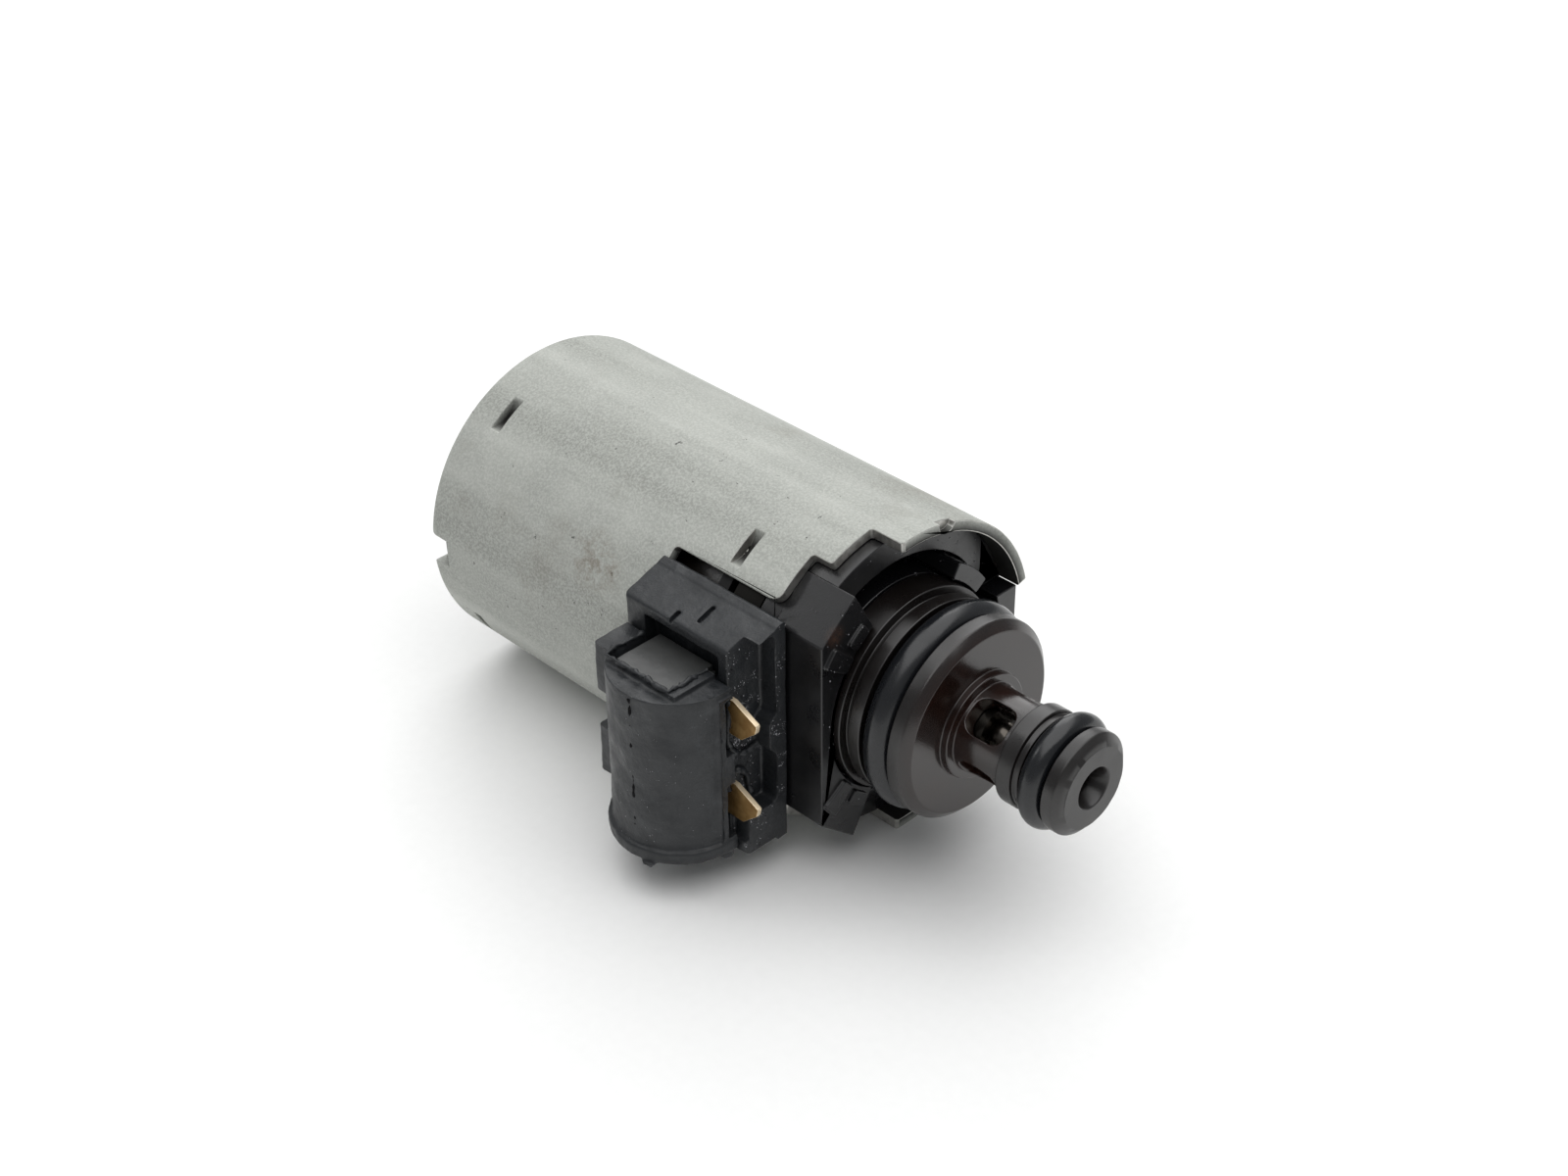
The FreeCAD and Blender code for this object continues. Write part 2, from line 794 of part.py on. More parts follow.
def nose_body():
    """Dark moulding with the seal grooves, the disc, the caged neck and the tip."""
    tail_radius = flange_bore - slide_gap
    large_floor = large_ring_outer - 2 * large_ring_section - press_gap
    small_floor = small_ring_outer - 2 * small_ring_section - press_gap
    body = turned(
        [
            (tail_start, pin_passage_radius),
            (tail_start, tail_radius),
            (collar_start, tail_radius),
            (collar_start, collar_radius),
            (collar_end, collar_radius),
            (collar_end, waist_radius),
            (waist_end, waist_radius),
            (waist_end, ring_flange_radius),
            (large_groove_start, ring_flange_radius),
            (large_groove_start, large_floor),
            (large_groove_end, large_floor),
            (large_groove_end, disc_radius),
            (disc_band_end, disc_radius),
            (disc_end, disc_face_radius),
            (disc_end, neck_base_radius),
            (neck_base_end, neck_base_radius),
            (neck_base_end, neck_radius),
            (neck_end, neck_radius),
            (neck_end, land_radius),
            (land_end, land_radius),
            (land_end, tip_shoulder_radius),
            (small_groove_start, tip_shoulder_radius),
            (small_groove_start, small_floor),
            (small_groove_end, small_floor),
            (small_groove_end, tip_radius),
            (tip_band_end, tip_radius),
            (nose_end, tip_face_radius),
            (nose_end, tip_hole_radius),
            (nose_end - tip_cone_depth, supply_bore_radius),
            (supply_seat_end + press_gap, supply_bore_radius),
            (supply_seat_end + press_gap, chamber_radius),
            (exhaust_seat_start - press_gap, chamber_radius),
            (exhaust_seat_start - press_gap, pin_passage_radius),
        ]
    )
    window = box(
        neck_base_end + neck_window_rear_wall,
        neck_end - neck_window_front_wall,
        0,
        neck_base_radius + margin,
        -neck_window_width / 2,
        neck_window_width / 2,
    )
    window = rounded(window, neck_window_corner, lambda edge: runs_along(edge, Vector(0, 1, 0)))
    for index in range(neck_window_count):
        cutter = window.copy()
        cutter.rotate(Vector(0, 0, 0), Vector(1, 0, 0), neck_window_angle + index * 360.0 / neck_window_count)
        body = body.cut(cutter)
    return body


def o_ring(x, section, outer):
    """Round seal about the X axis."""
    return Part.makeTorus(outer - section, section, Vector(x, 0, 0), Vector(1, 0, 0))


def large_o_ring():
    """Seal between the flange and the disc."""
    return o_ring((large_groove_start + large_groove_end) / 2, large_ring_section, large_ring_outer)


def small_o_ring():
    """Seal behind the tip."""
    return o_ring((small_groove_start + small_groove_end) / 2, small_ring_section, small_ring_outer)


def core_seal():
    """Seal between the fixed core and the nose's tail."""
    return o_ring((core_end + tail_start) / 2, core_seal_section, flange_bore - press_gap)


def exhaust_seat():
    """Seat ring behind the ball, round the pin."""
    return ring(exhaust_seat_start, exhaust_seat_face, chamber_radius - press_gap, exhaust_bore_radius)


def supply_seat():
    """Seat ring in front of the ball."""
    return ring(supply_seat_start, supply_seat_end, chamber_radius - press_gap, supply_bore_radius)


def valve_ball():
    """Steel ball that opens one seat and closes the other."""
    return Part.makeSphere(ball_radius, Vector(ball_x, 0, 0))


def blade_slot(centre):
    """Room for one blade and its leg in the block."""
    half = blade_height / 2 + slot_gap
    blade = box(
        blade_root - slot_gap,
        block_end + margin,
        block_front_y - margin,
        blade_y + blade_thickness / 2 + slot_gap,
        centre - half,
        centre + half,
    )
    leg = box(
        leg_x - leg_width / 2 - slot_gap,
        leg_x + leg_width / 2 + slot_gap,
        block_front_y - margin,
        block_rear_y + margin,
        centre - leg_height / 2 - slot_gap,
        centre + leg_height / 2 + slot_gap,
    )
    return blade.fuse(leg)


def block_recess():
    """Cutter of the recess in the block's side, with an arched top and a bump left on its rim."""
    rim_y = block_rear_y - recess_rim
    bump_y = rim_y - bump_width
    top_z = block_rear_z - recess_top_wall
    front_y = block_front_y - margin
    shoulder_y = block_front_y + recess_rim
    foot_y = block_front_y + recess_round
    arch = [
        Vector(0, shoulder_y, top_z - rear_edge_drop),
        Vector(0, block_front_y + rear_edge_drop, top_z - recess_top_wall),
        Vector(0, block_front_y, block_front_z - recess_front_drop),
    ]
    outline = [
        Vector(0, front_y, block_front_z - recess_front_drop),
        Vector(0, front_y, recess_mouth_bottom),
        Vector(0, foot_y, recess_mouth_bottom),
        Vector(0, foot_y, recess_bottom),
        Vector(0, rim_y, recess_bottom),
        Vector(0, rim_y, bump_bottom - bump_width),
        Vector(0, bump_y, bump_bottom),
        Vector(0, bump_y, bump_top),
        Vector(0, rim_y, bump_top + bump_width),
        Vector(0, rim_y, top_z),
        arch[0],
    ]
    edges = [Part.makeLine(a, b) for a, b in zip(outline, outline[1:])]
    edges.append(Part.Arc(*arch).toShape())
    edges.append(Part.makeLine(arch[2], outline[0]))
    cutter = Part.Face(Part.Wire(edges)).extrude(Vector(recess_depth + margin, 0, 0))
    cutter.translate(Vector(block_end - recess_depth, 0, 0))

    def rim_edge(edge):
        """Corner of the recess beside the rim or on its bump."""
        y = edge.CenterOfMass.y
        return runs_along(edge, Vector(1, 0, 0)) and min(abs(y - rim_y), abs(y - bump_y)) < tiny

    return rounded(cutter, recess_round, rim_edge)


def top_slot(x, length, setback):
    """Cutter of a narrow slot that runs across the top of the block."""
    front = block_front_y + setback
    slope = math.degrees(math.atan2(front_edge_drop, block_ridge_y - block_front_y))
    cutter = box(x, x + slot_width, front, front + length, block_front_z - slot_depth, block_front_z + margin)
    cutter.rotate(Vector(x, block_front_y, block_front_z), Vector(1, 0, 0), slope)
    return cutter


def connector_block():
    """Black moulded block in the can's window, hollowed over the bobbin and recessed at the side."""
    section = [
        (block_rear_y, block_bottom_z),
        (block_rear_y, block_rear_z),
        (block_ridge_y, block_ridge_z),
        (bead_y, bead_z),
        (bead_y - bead_rise, bead_z - bead_rise),
        (block_front_y, block_front_z),
        (block_front_y, block_bottom_z),
    ]
    body = prism(section, block_start, block_end)

    def outer_edge(edge):
        """Edge of the front, the top or a side that is away from the can."""
        centre = edge.CenterOfMass
        upright = runs_along(edge, Vector(0, 0, 1)) and centre.y < block_ridge_y
        across = runs_along(edge, Vector(1, 0, 0)) and centre.y < block_front_y + tiny
        return upright or across

    body = rounded(body, block_round, outer_edge)
    foot = box(
        block_end - foot_width,
        block_end,
        block_rear_y - foot_width,
        block_rear_y,
        block_bottom_z - foot_drop,
        block_bottom_z + foot_drop,
    )
    body = body.fuse(rounded(foot, foot_drop / 2, lambda edge: edge.CenterOfMass.z < block_bottom_z))
    body = body.cut(ring(block_start - margin, window_start + window_room, can_radius + face_gap))
    body = body.cut(ring(block_start - margin, front_plate_start - press_gap, saddle_radius))
    body = body.cut(block_recess())
    body = body.cut(top_slot(cap_x + short_slot_offset, short_slot_length, -press_gap))
    body = body.cut(top_slot(cap_x + long_slot_offset, long_slot_length, long_slot_setback))
    body = body.cut(
        box(
            pocket_start - frame_rear_wall,
            pocket_end + frame_front_wall,
            block_front_y - margin,
            pocket_rear_y,
            pocket_floor,
            block_front_z - pocket_top_wall,
        )
    )
    for centre in blade_centres:
        body = body.cut(blade_slot(centre))
    return body.removeSplitter()


def upright(radius, bottom, top, x, y):
    """Upright round column."""
    return Part.makeCylinder(radius, top - bottom, Vector(x, y, bottom), Vector(0, 0, 1))


def connector_cap():
    """Half-round cap with a lip, two tabs, two terminal mouths and a framed pocket for the lid."""
    column = upright(cap_radius, cap_bottom, cap_top, cap_x, cap_y)
    lip = upright(lip_radius, cap_bottom, cap_bottom + lip_height, cap_x, cap_y)
    lip = rounded(lip, lip_round, lambda edge: isinstance(edge.Curve, Part.Circle))
    back = box(cap_x - cap_radius, cap_x + cap_radius, cap_y, block_front_y, cap_bottom, cap_top)
    mouth = box(
        cap_x,
        mouth_end,
        block_front_y - mouth_width,
        block_front_y,
        cap_bottom + mouth_margin,
        cap_top - mouth_margin,
    )
    frame = box(
        pocket_start - frame_rear_wall,
        pocket_end + frame_front_wall,
        pocket_front_y - frame_side_wall,
        block_front_y,
        pocket_floor,
        cap_top + frame_rise,
    )
    gate_centre = on_ring(gate_angle, cap_radius)
    gate = Part.makeCone(
        0.0,
        gate_radius,
        gate_drop,
        Vector(cap_x + gate_centre.y, cap_y + gate_centre.z, cap_bottom - gate_drop + press_gap),
        Vector(0, 0, 1),
    )
    nub_top = cap_bottom + mouth_margin + press_gap
    nub = upright(nub_radius, nub_top - nub_drop, nub_top, mouth_end - nub_radius, block_front_y - nub_radius)
    nub = rounded(nub, nub_radius / 2, lambda edge: edge.CenterOfMass.z < cap_bottom)
    pieces = [lip, back, mouth, frame, gate, nub]

    def tab_corner(edge):
        """Upright edge at the outer end of a tab."""
        return runs_along(edge, Vector(0, 0, 1)) and edge.CenterOfMass.y < cap_y

    for centre in tab_centres:
        low = centre - tab_height / 2
        tab = box(tab_start, cap_x, block_front_y - tab_reach, block_front_y, low, low + tab_height)
        pieces.append(rounded(tab, block_round, tab_corner))
    body = column.fuse(pieces)
    behind = box(0, can_length, block_front_y - press_gap, 0, -can_radius, can_radius)
    body = body.cut(behind)
    for centre in blade_centres:
        low = centre - mouth_notch_height / 2 - mouth_notch_drop
        notch = box(
            mouth_notch_floor,
            mouth_end + margin,
            block_front_y - mouth_notch_width,
            block_front_y,
            low,
            low + mouth_notch_height,
        )
        body = body.cut(notch)
    pocket = box(pocket_start, pocket_end, pocket_front_y, block_front_y, pocket_floor, cap_top + margin)
    cavity = box(
        cap_x - diode_length / 2 - press_gap,
        cap_x + diode_length / 2 + press_gap,
        diode_y - diode_radius - press_gap,
        diode_y + diode_radius + press_gap,
        diode_cavity_floor,
        pocket_floor + margin,
    )
    return body.cut(pocket).cut(cavity).removeSplitter()


def suppressor_lid():
    """Square lid sunk in the framed pocket, with a wider foot under it."""
    bottom = pocket_floor + press_gap + lid_foot
    body = box(
        pocket_start + lid_margin,
        pocket_end - lid_margin,
        pocket_front_y + lid_margin,
        pocket_rear_y - lid_margin,
        bottom,
        lid_top,
    )
    foot = box(
        pocket_start + press_gap,
        pocket_end - press_gap,
        pocket_front_y + press_gap,
        pocket_rear_y - press_gap,
        pocket_floor + press_gap,
        bottom,
    )
    return body.fuse(foot).removeSplitter()


def diode():
    """Suppressor part in the cavity under the lid."""
    centre = Vector(cap_x - diode_length / 2, diode_y, diode_cavity_floor + diode_radius + press_gap)
    return Part.makeCylinder(diode_radius, diode_length, centre, Vector(1, 0, 0))


def terminal(centre):
    """Brass blade with a pointed tip and a leg towards the coil."""
    low = centre - blade_height / 2
    high = centre + blade_height / 2
    tip_low = centre + blade_tip_rise - blade_tip_height / 2
    tip_high = centre + blade_tip_rise + blade_tip_height / 2
    back_y = blade_y - blade_thickness / 2
    outline = [
        Vector(blade_root, back_y, low),
        Vector(blade_heel, back_y, low),
        Vector(blade_tip - blade_tip_height / 4, back_y, tip_low),
        Vector(blade_tip, back_y, tip_high),
        Vector(blade_shoulder, back_y, high),
        Vector(blade_root, back_y, high),
    ]
    blade = Part.Face(Part.makePolygon(outline + outline[:1])).extrude(Vector(0, blade_thickness, 0))
    blade = rounded(
        blade,
        blade_tip_round,
        lambda edge: runs_along(edge, Vector(0, 1, 0)) and edge.CenterOfMass.x > block_end + tiny,
    )
    leg = box(
        leg_x - leg_width / 2,
        leg_x + leg_width / 2,
        blade_y,
        chord_y(saddle_radius, centre) - press_gap,
        centre - leg_height / 2,
        centre + leg_height / 2,
    )
    return blade.fuse(leg).removeSplitter()


def coil_lead(centre):
    """Copper lead from the winding to a terminal's leg."""
    tape_surface = chord_y(winding_radius + tape_thickness + 2 * press_gap, abs(centre) - lead_radius)
    start = chord_y(saddle_radius, centre)
    return Part.makeCylinder(lead_radius, tape_surface - start, Vector(leg_x, start, centre), Vector(0, 1, 0))


parts = {
    "can_shell": can_shell(),
    "rear_plate": rear_plate(),
    "rear_bumper": rear_bumper(),
    "guide_tube": guide_tube(),
    "bobbin": bobbin(),
    "coil_winding": coil_winding(),
    "winding_tape": winding_tape(),
    "front_plate": front_plate(),
    "fixed_core": fixed_core(),
    "pin_bush": pin_bush(),
    "shim_washer": shim_washer(),
    "armature": armature(),
    "push_pin": push_pin(),
    "return_spring": return_spring(),
    "front_flange": front_flange(),
    "core_seal": core_seal(),
    "nose_body": nose_body(),
    "large_o_ring": large_o_ring(),
    "small_o_ring": small_o_ring(),
    "exhaust_seat": exhaust_seat(),
    "supply_seat": supply_seat(),
    "valve_ball": valve_ball(),
    "connector_block": connector_block(),
    "connector_cap": connector_cap(),
    "suppressor_lid": suppressor_lid(),
    "diode": diode(),
    "terminal_upper": terminal(blade_centres[0]),
    "terminal_lower": terminal(blade_centres[1]),
    "lead_upper": coil_lead(blade_centres[0]),
    "lead_lower": coil_lead(blade_centres[1]),
}

os.makedirs("parts", exist_ok=True)
for name, shape in parts.items():
    shape.exportStep("parts/" + name + ".step")
    box_of = shape.BoundBox
    print(
        f"{name:16s} solids {len(shape.Solids)} valid {shape.isValid()} volume {shape.Volume:9.1f}"
        f" x {box_of.XMin:6.2f} {box_of.XMax:6.2f} y {box_of.YMin:6.2f} {box_of.YMax:6.2f}"
        f" z {box_of.ZMin:6.2f} {box_of.ZMax:6.2f}"
    )
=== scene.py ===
# %% [markdown]
# # A plug-in shift solenoid
# The real part is a drawn steel can with a black moulded flange in its mouth, a moulded connector at its
# side, and a dark nose with two rubber seals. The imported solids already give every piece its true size
# and place, so this script never moves them. It gives them what a solid lacks: softened edges, the
# surface of the real material, and the oil and grit of a used part.

# %% Load the fixed frame
import math

import bmesh
import bpy
from mathutils import Matrix, Vector


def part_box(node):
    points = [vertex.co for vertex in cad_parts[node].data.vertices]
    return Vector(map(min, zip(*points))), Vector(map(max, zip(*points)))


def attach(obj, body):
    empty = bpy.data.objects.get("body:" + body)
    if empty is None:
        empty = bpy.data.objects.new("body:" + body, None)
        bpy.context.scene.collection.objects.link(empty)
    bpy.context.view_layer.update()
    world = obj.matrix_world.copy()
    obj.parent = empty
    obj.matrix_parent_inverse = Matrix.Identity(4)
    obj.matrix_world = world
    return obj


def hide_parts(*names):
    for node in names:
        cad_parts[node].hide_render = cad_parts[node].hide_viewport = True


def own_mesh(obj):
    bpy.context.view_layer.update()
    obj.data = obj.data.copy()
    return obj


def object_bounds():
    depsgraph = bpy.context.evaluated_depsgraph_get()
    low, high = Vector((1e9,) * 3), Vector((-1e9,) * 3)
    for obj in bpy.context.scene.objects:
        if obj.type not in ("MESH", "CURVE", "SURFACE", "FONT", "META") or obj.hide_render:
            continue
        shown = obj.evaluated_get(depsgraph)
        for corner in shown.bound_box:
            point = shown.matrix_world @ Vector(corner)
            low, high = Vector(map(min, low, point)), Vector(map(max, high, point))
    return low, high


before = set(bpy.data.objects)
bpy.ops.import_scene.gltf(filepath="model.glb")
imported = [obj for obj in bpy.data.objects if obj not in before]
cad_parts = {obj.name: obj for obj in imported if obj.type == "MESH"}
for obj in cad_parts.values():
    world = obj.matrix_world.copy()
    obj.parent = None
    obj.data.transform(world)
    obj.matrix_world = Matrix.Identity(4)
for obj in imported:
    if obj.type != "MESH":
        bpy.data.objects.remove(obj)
cad_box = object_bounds()
mm = 0.001
print("solids:", len(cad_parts), "size in mm:", [round(x / mm, 2) for x in cad_box[1] - cad_box[0]])

# %% [markdown]
# ## Colours and nodes
# A colour is given as an sRGB hex value, but a shader works in linear light, so one function turns
# it. A second one adds a node with its settings and its links, which keeps a material short enough to
# read. Object coordinates are in metres, so a texture whose features are 0.2 mm apart needs the scale
# 1 / 0.0002. A third function works that out, and every pattern below is given its real size.


# %% Colour, node and scale helpers
def linear(hex_colour):
    """Linear RGBA of an sRGB hex colour."""
    channels = [int(hex_colour[i : i + 2], 16) / 255 for i in (1, 3, 5)]
    return [c / 12.92 if c <= 0.04045 else ((c + 0.055) / 1.055) ** 2.4 for c in channels] + [1.0]


def add(tree, kind, sockets=None, **settings):
    """Node with its own settings, and its sockets set to a value or linked to another node."""
    node = tree.nodes.new(kind)
    for name, value in settings.items():
        setattr(node, name, value)
    for name, value in (sockets or {}).items():
        if isinstance(value, bpy.types.Node):
            value = next(out for out in value.outputs if out.enabled)
        if isinstance(value, bpy.types.NodeSocket):
            tree.links.new(value, node.inputs[name])
        else:
            node.inputs[name].default_value = value
    return node


def per(size_mm):
    """Texture scale for features of a size in millimetres."""
    return 1 / (size_mm * mm)


# %% [markdown]
# ## What every material shares
# Each material starts as an empty tree that reads Object coordinates, so a pattern stays fixed to the
# piece. Each ends in one shader whose surface is lifted by a bump of a real height in millimetres. The
# two ends are written once, and each material only says what lies between them.


# %% Start and end of a material
def begin(name):
    """New material: the material, its tree and its object coordinates."""
    material = bpy.data.materials.new(name)
    material.use_nodes = True
    material.node_tree.nodes.clear()
    place = add(material.node_tree, "ShaderNodeTexCoord").outputs["Object"]
    return material, material.node_tree, place


def end(tree, height, height_mm, sockets):
    """Shader with a bump of a height in millimetres, joined to the material's output."""
    bump = add(tree, "ShaderNodeBump", {"Strength": 1.0, "Distance": height_mm * mm, "Height": height})
    shader = add(tree, "ShaderNodeBsdfPrincipled", dict(sockets, Normal=bump))
    add(tree, "ShaderNodeOutputMaterial", {"Surface": shader})


# %% [markdown]
# ## Zinc plated steel: the can
# The can is deep drawn and then barrel plated with zinc. To the eye that is a pale grey with a breath of
# green, quite matt, with a fine orange peel. Soft lighter and darker streaks along the draw are painted
# reflections of the lights. Years in oil leave small dark specks and faint brown smudges. The streaks are
# noise stretched along X with a Mapping node and shifted so that the lighter ones fall where the lights
# reflect, the specks are the peaks of a finer noise, and the plating is partly metallic, because its grain
# scatters light.
# What lies deeper than the wall's outer face, such as the pockets of the lances, is painted dark as shade,
# so the colour also follows the distance from the can's axis.


# %% Zinc plated steel
def zinc_plated_steel():
    """Matt, faintly green plating with grain, painted reflection streaks, specks, smudges and painted
    shade.
    """
    material, tree, place = begin("zinc_plated_steel")
    # Painted reflection streaks: this shift places the lighter bands of the noise where the lights reflect.
    streak_shift = (0.0, 31.0 * mm, 12.0 * mm)
    along = add(tree, "ShaderNodeMapping", {"Vector": place, "Location": streak_shift, "Scale": (0.1, 1.0, 1.0)})
    band = add(tree, "ShaderNodeTexNoise", {"Vector": along, "Scale": per(4.5), "Detail": 3.0})
    cloud = add(tree, "ShaderNodeTexNoise", {"Vector": place, "Scale": per(7.0), "Detail": 5.0})
    grain = add(
        tree, "ShaderNodeTexNoise", {"Vector": place, "Scale": per(0.22), "Detail": 3.0, "Roughness": 0.7}
    )
    speck = add(
        tree, "ShaderNodeTexNoise", {"Vector": place, "Scale": per(1.1), "Detail": 4.0, "Roughness": 0.7}
    )
    soil = add(
        tree, "ShaderNodeTexNoise", {"Vector": place, "Scale": per(12.0), "Detail": 6.0, "Roughness": 0.6}
    )
    wall = add(tree, "ShaderNodeSeparateXYZ", {"Vector": place})
    flat = add(tree, "ShaderNodeCombineXYZ", {"Y": wall.outputs["Y"], "Z": wall.outputs["Z"]})
    radius = add(tree, "ShaderNodeVectorMath", {0: flat}, operation="LENGTH").outputs["Value"]
    # Painted shade: below the wall's outer face, as in the pockets of the lances, the colour turns dark.
    deep = {"Value": radius, "From Min": 14.1 * mm, "From Max": 14.9 * mm, "To Min": 0.97, "To Max": 0.0}
    painted_shade = add(tree, "ShaderNodeMapRange", deep)
    front = {"Value": wall.outputs["X"], "From Min": 1.5 * mm, "From Max": 2.5 * mm}
    front = add(tree, "ShaderNodeMapRange", front)
    painted_shade = add(tree, "ShaderNodeMath", {0: painted_shade, 1: front}, operation="MULTIPLY")
    thumbed = (21.7 * mm, -13.2 * mm, 7.2 * mm)
    smudge = add(tree, "ShaderNodeVectorMath", {0: place, 1: thumbed}, operation="DISTANCE")
    smudge = smudge.outputs["Value"]
    smudge = add(tree, "ShaderNodeMath", {0: cloud, 1: -4.0 * mm, 2: smudge}, operation="MULTIPLY_ADD")
    edge = {"Value": smudge, "From Min": -1.6 * mm, "From Max": 1.4 * mm, "To Min": 0.9, "To Max": 0.0}
    smudged = add(tree, "ShaderNodeMapRange", edge)
    broken = add(tree, "ShaderNodeMapRange", {"Value": speck, "From Min": 0.42, "From Max": 0.72})
    smudged = add(tree, "ShaderNodeMath", {0: smudged, 1: broken}, operation="MULTIPLY")
    # Painted reflection: lighter and darker streaks of colour along the can.
    painted_streaks = add(tree, "ShaderNodeMapRange", {"Value": band, "From Min": 0.35, "From Max": 0.68})
    clouded = add(
        tree, "ShaderNodeMapRange", {"Value": cloud, "From Min": 0.4, "From Max": 0.7, "To Max": 0.5}
    )
    grained = add(
        tree, "ShaderNodeMapRange", {"Value": grain, "From Min": 0.42, "From Max": 0.62, "To Max": 0.5}
    )
    specked = add(
        tree, "ShaderNodeMapRange", {"Value": speck, "From Min": 0.685, "From Max": 0.71, "To Max": 0.8}
    )
    soiled = add(
        tree, "ShaderNodeMapRange", {"Value": soil, "From Min": 0.58, "From Max": 0.74, "To Max": 0.4}
    )
    tone = add(
        tree, "ShaderNodeMix", {0: painted_streaks, 6: linear("#999b95"), 7: linear("#b7b9b3")}, data_type="RGBA"
    )
    tone = add(tree, "ShaderNodeMix", {0: clouded, 6: tone, 7: linear("#969893")}, data_type="RGBA")
    tone = add(tree, "ShaderNodeMix", {0: grained, 6: tone, 7: linear("#c9cbc5")}, data_type="RGBA")
    tone = add(tree, "ShaderNodeMix", {0: soiled, 6: tone, 7: linear("#7c766b")}, data_type="RGBA")
    tone = add(tree, "ShaderNodeMix", {0: specked, 6: tone, 7: linear("#3d3c3a")}, data_type="RGBA")
    tone = add(tree, "ShaderNodeMix", {0: smudged, 6: tone, 7: linear("#6b5a44")}, data_type="RGBA")
    # Painted shade in the pockets below the wall's outer face.
    tone = add(tree, "ShaderNodeMix", {0: painted_shade, 6: tone, 7: linear("#14120f")}, data_type="RGBA")
    sheen = {"Value": band, "From Min": 0.3, "From Max": 0.7, "To Min": 0.86, "To Max": 0.72}
    rough = add(tree, "ShaderNodeMapRange", sheen)
    end(tree, grain, 0.02, {"Metallic": 0.2, "Base Color": tone, "Roughness": rough})
    return material


# %% Sheared steel
def sheared_steel():
    """Bare cut edge of the can: bright, with the fine lines that the punch leaves."""
    material, tree, place = begin("sheared_steel")
    drag = add(tree, "ShaderNodeMapping", {"Vector": place, "Scale": (1.0, 1.0, 0.15)})
    line = add(tree, "ShaderNodeTexNoise", {"Vector": drag, "Scale": per(0.16), "Detail": 2.0})
    tear = add(tree, "ShaderNodeTexNoise", {"Vector": place, "Scale": per(0.8), "Detail": 3.0})
    torn = add(
        tree, "ShaderNodeMapRange", {"Value": tear, "From Min": 0.46, "From Max": 0.66, "To Max": 0.6}
    )
    tone = add(
        tree, "ShaderNodeMix", {0: torn, 6: linear("#c4c3be"), 7: linear("#8d8b86")}, data_type="RGBA"
    )
    end(tree, line, 0.02, {"Metallic": 0.9, "Base Color": tone, "Roughness": 0.36})
    return material


# %% [markdown]
# ## Steels and bronze inside
# The magnetic parts are turned from soft iron, the tube and the pin are stainless, the seats are ground
# and the ball is lapped. What tells them apart is how the tool left them: turning leaves fine rings round
# the axis, grinding a finer haze, lapping almost nothing. The rings are noise that changes fast along X
# and slowly round it.


# %% Soft iron
def soft_iron():
    """Turned soft iron, dark under its oil, with fine rings."""
    material, tree, place = begin("core_steel")
    ringed = add(tree, "ShaderNodeMapping", {"Vector": place, "Scale": (1.0, 0.05, 0.05)})
    ring = add(tree, "ShaderNodeTexNoise", {"Vector": ringed, "Scale": per(0.25), "Detail": 2.0})
    stain = add(tree, "ShaderNodeTexNoise", {"Vector": place, "Scale": per(3.0), "Detail": 4.0})
    tone = add(
        tree, "ShaderNodeMix", {0: stain, 6: linear("#2b2a28"), 7: linear("#1d1c1b")}, data_type="RGBA"
    )
    end(tree, ring, 0.008, {"Metallic": 1.0, "Base Color": tone, "Roughness": 0.42})
    return material


# %% Phosphated steel
def phosphated_steel():
    """Rear plate: pressed steel under a dull grey phosphate, with faint turned rings."""
    material, tree, place = begin("phosphated_steel")
    across = add(tree, "ShaderNodeSeparateXYZ", {"Vector": place})
    across = add(tree, "ShaderNodeCombineXYZ", {"Y": across.outputs["Y"], "Z": across.outputs["Z"]})
    radius = add(tree, "ShaderNodeVectorMath", {0: across}, operation="LENGTH").outputs["Value"]
    ring = add(
        tree, "ShaderNodeTexNoise", {"W": radius, "Scale": per(0.3), "Detail": 2.0}, noise_dimensions="1D"
    )
    salt = add(
        tree, "ShaderNodeTexNoise", {"Vector": place, "Scale": per(0.25), "Detail": 3.0, "Roughness": 0.7}
    )
    stain = add(tree, "ShaderNodeTexNoise", {"Vector": place, "Scale": per(4.0), "Detail": 5.0})
    salted = add(
        tree, "ShaderNodeMapRange", {"Value": salt, "From Min": 0.5, "From Max": 0.7, "To Max": 0.4}
    )
    tone = add(
        tree, "ShaderNodeMix", {0: stain, 6: linear("#6e6f6d"), 7: linear("#4f504f")}, data_type="RGBA"
    )
    tone = add(tree, "ShaderNodeMix", {0: salted, 6: tone, 7: linear("#8f918f")}, data_type="RGBA")
    end(tree, ring, 0.012, {"Metallic": 0.6, "Base Color": tone, "Roughness": 0.5})
    return material


# %% Stainless steel
def stainless_steel():
    """Centreless ground stainless, brighter and smoother than the iron."""
    material, tree, place = begin("stainless_steel")
    ringed = add(tree, "ShaderNodeMapping", {"Vector": place, "Scale": (1.0, 0.04, 0.04)})
    ring = add(tree, "ShaderNodeTexNoise", {"Vector": ringed, "Scale": per(0.12), "Detail": 2.0})
    rough = add(tree, "ShaderNodeMapRange", {"Value": ring, "To Min": 0.2, "To Max": 0.36})
    tone = add(
        tree, "ShaderNodeMix", {0: ring, 6: linear("#c6c5c1"), 7: linear("#b0afab")}, data_type="RGBA"
    )
    end(tree, ring, 0.003, {"Metallic": 1.0, "Base Color": tone, "Roughness": rough})
    return material


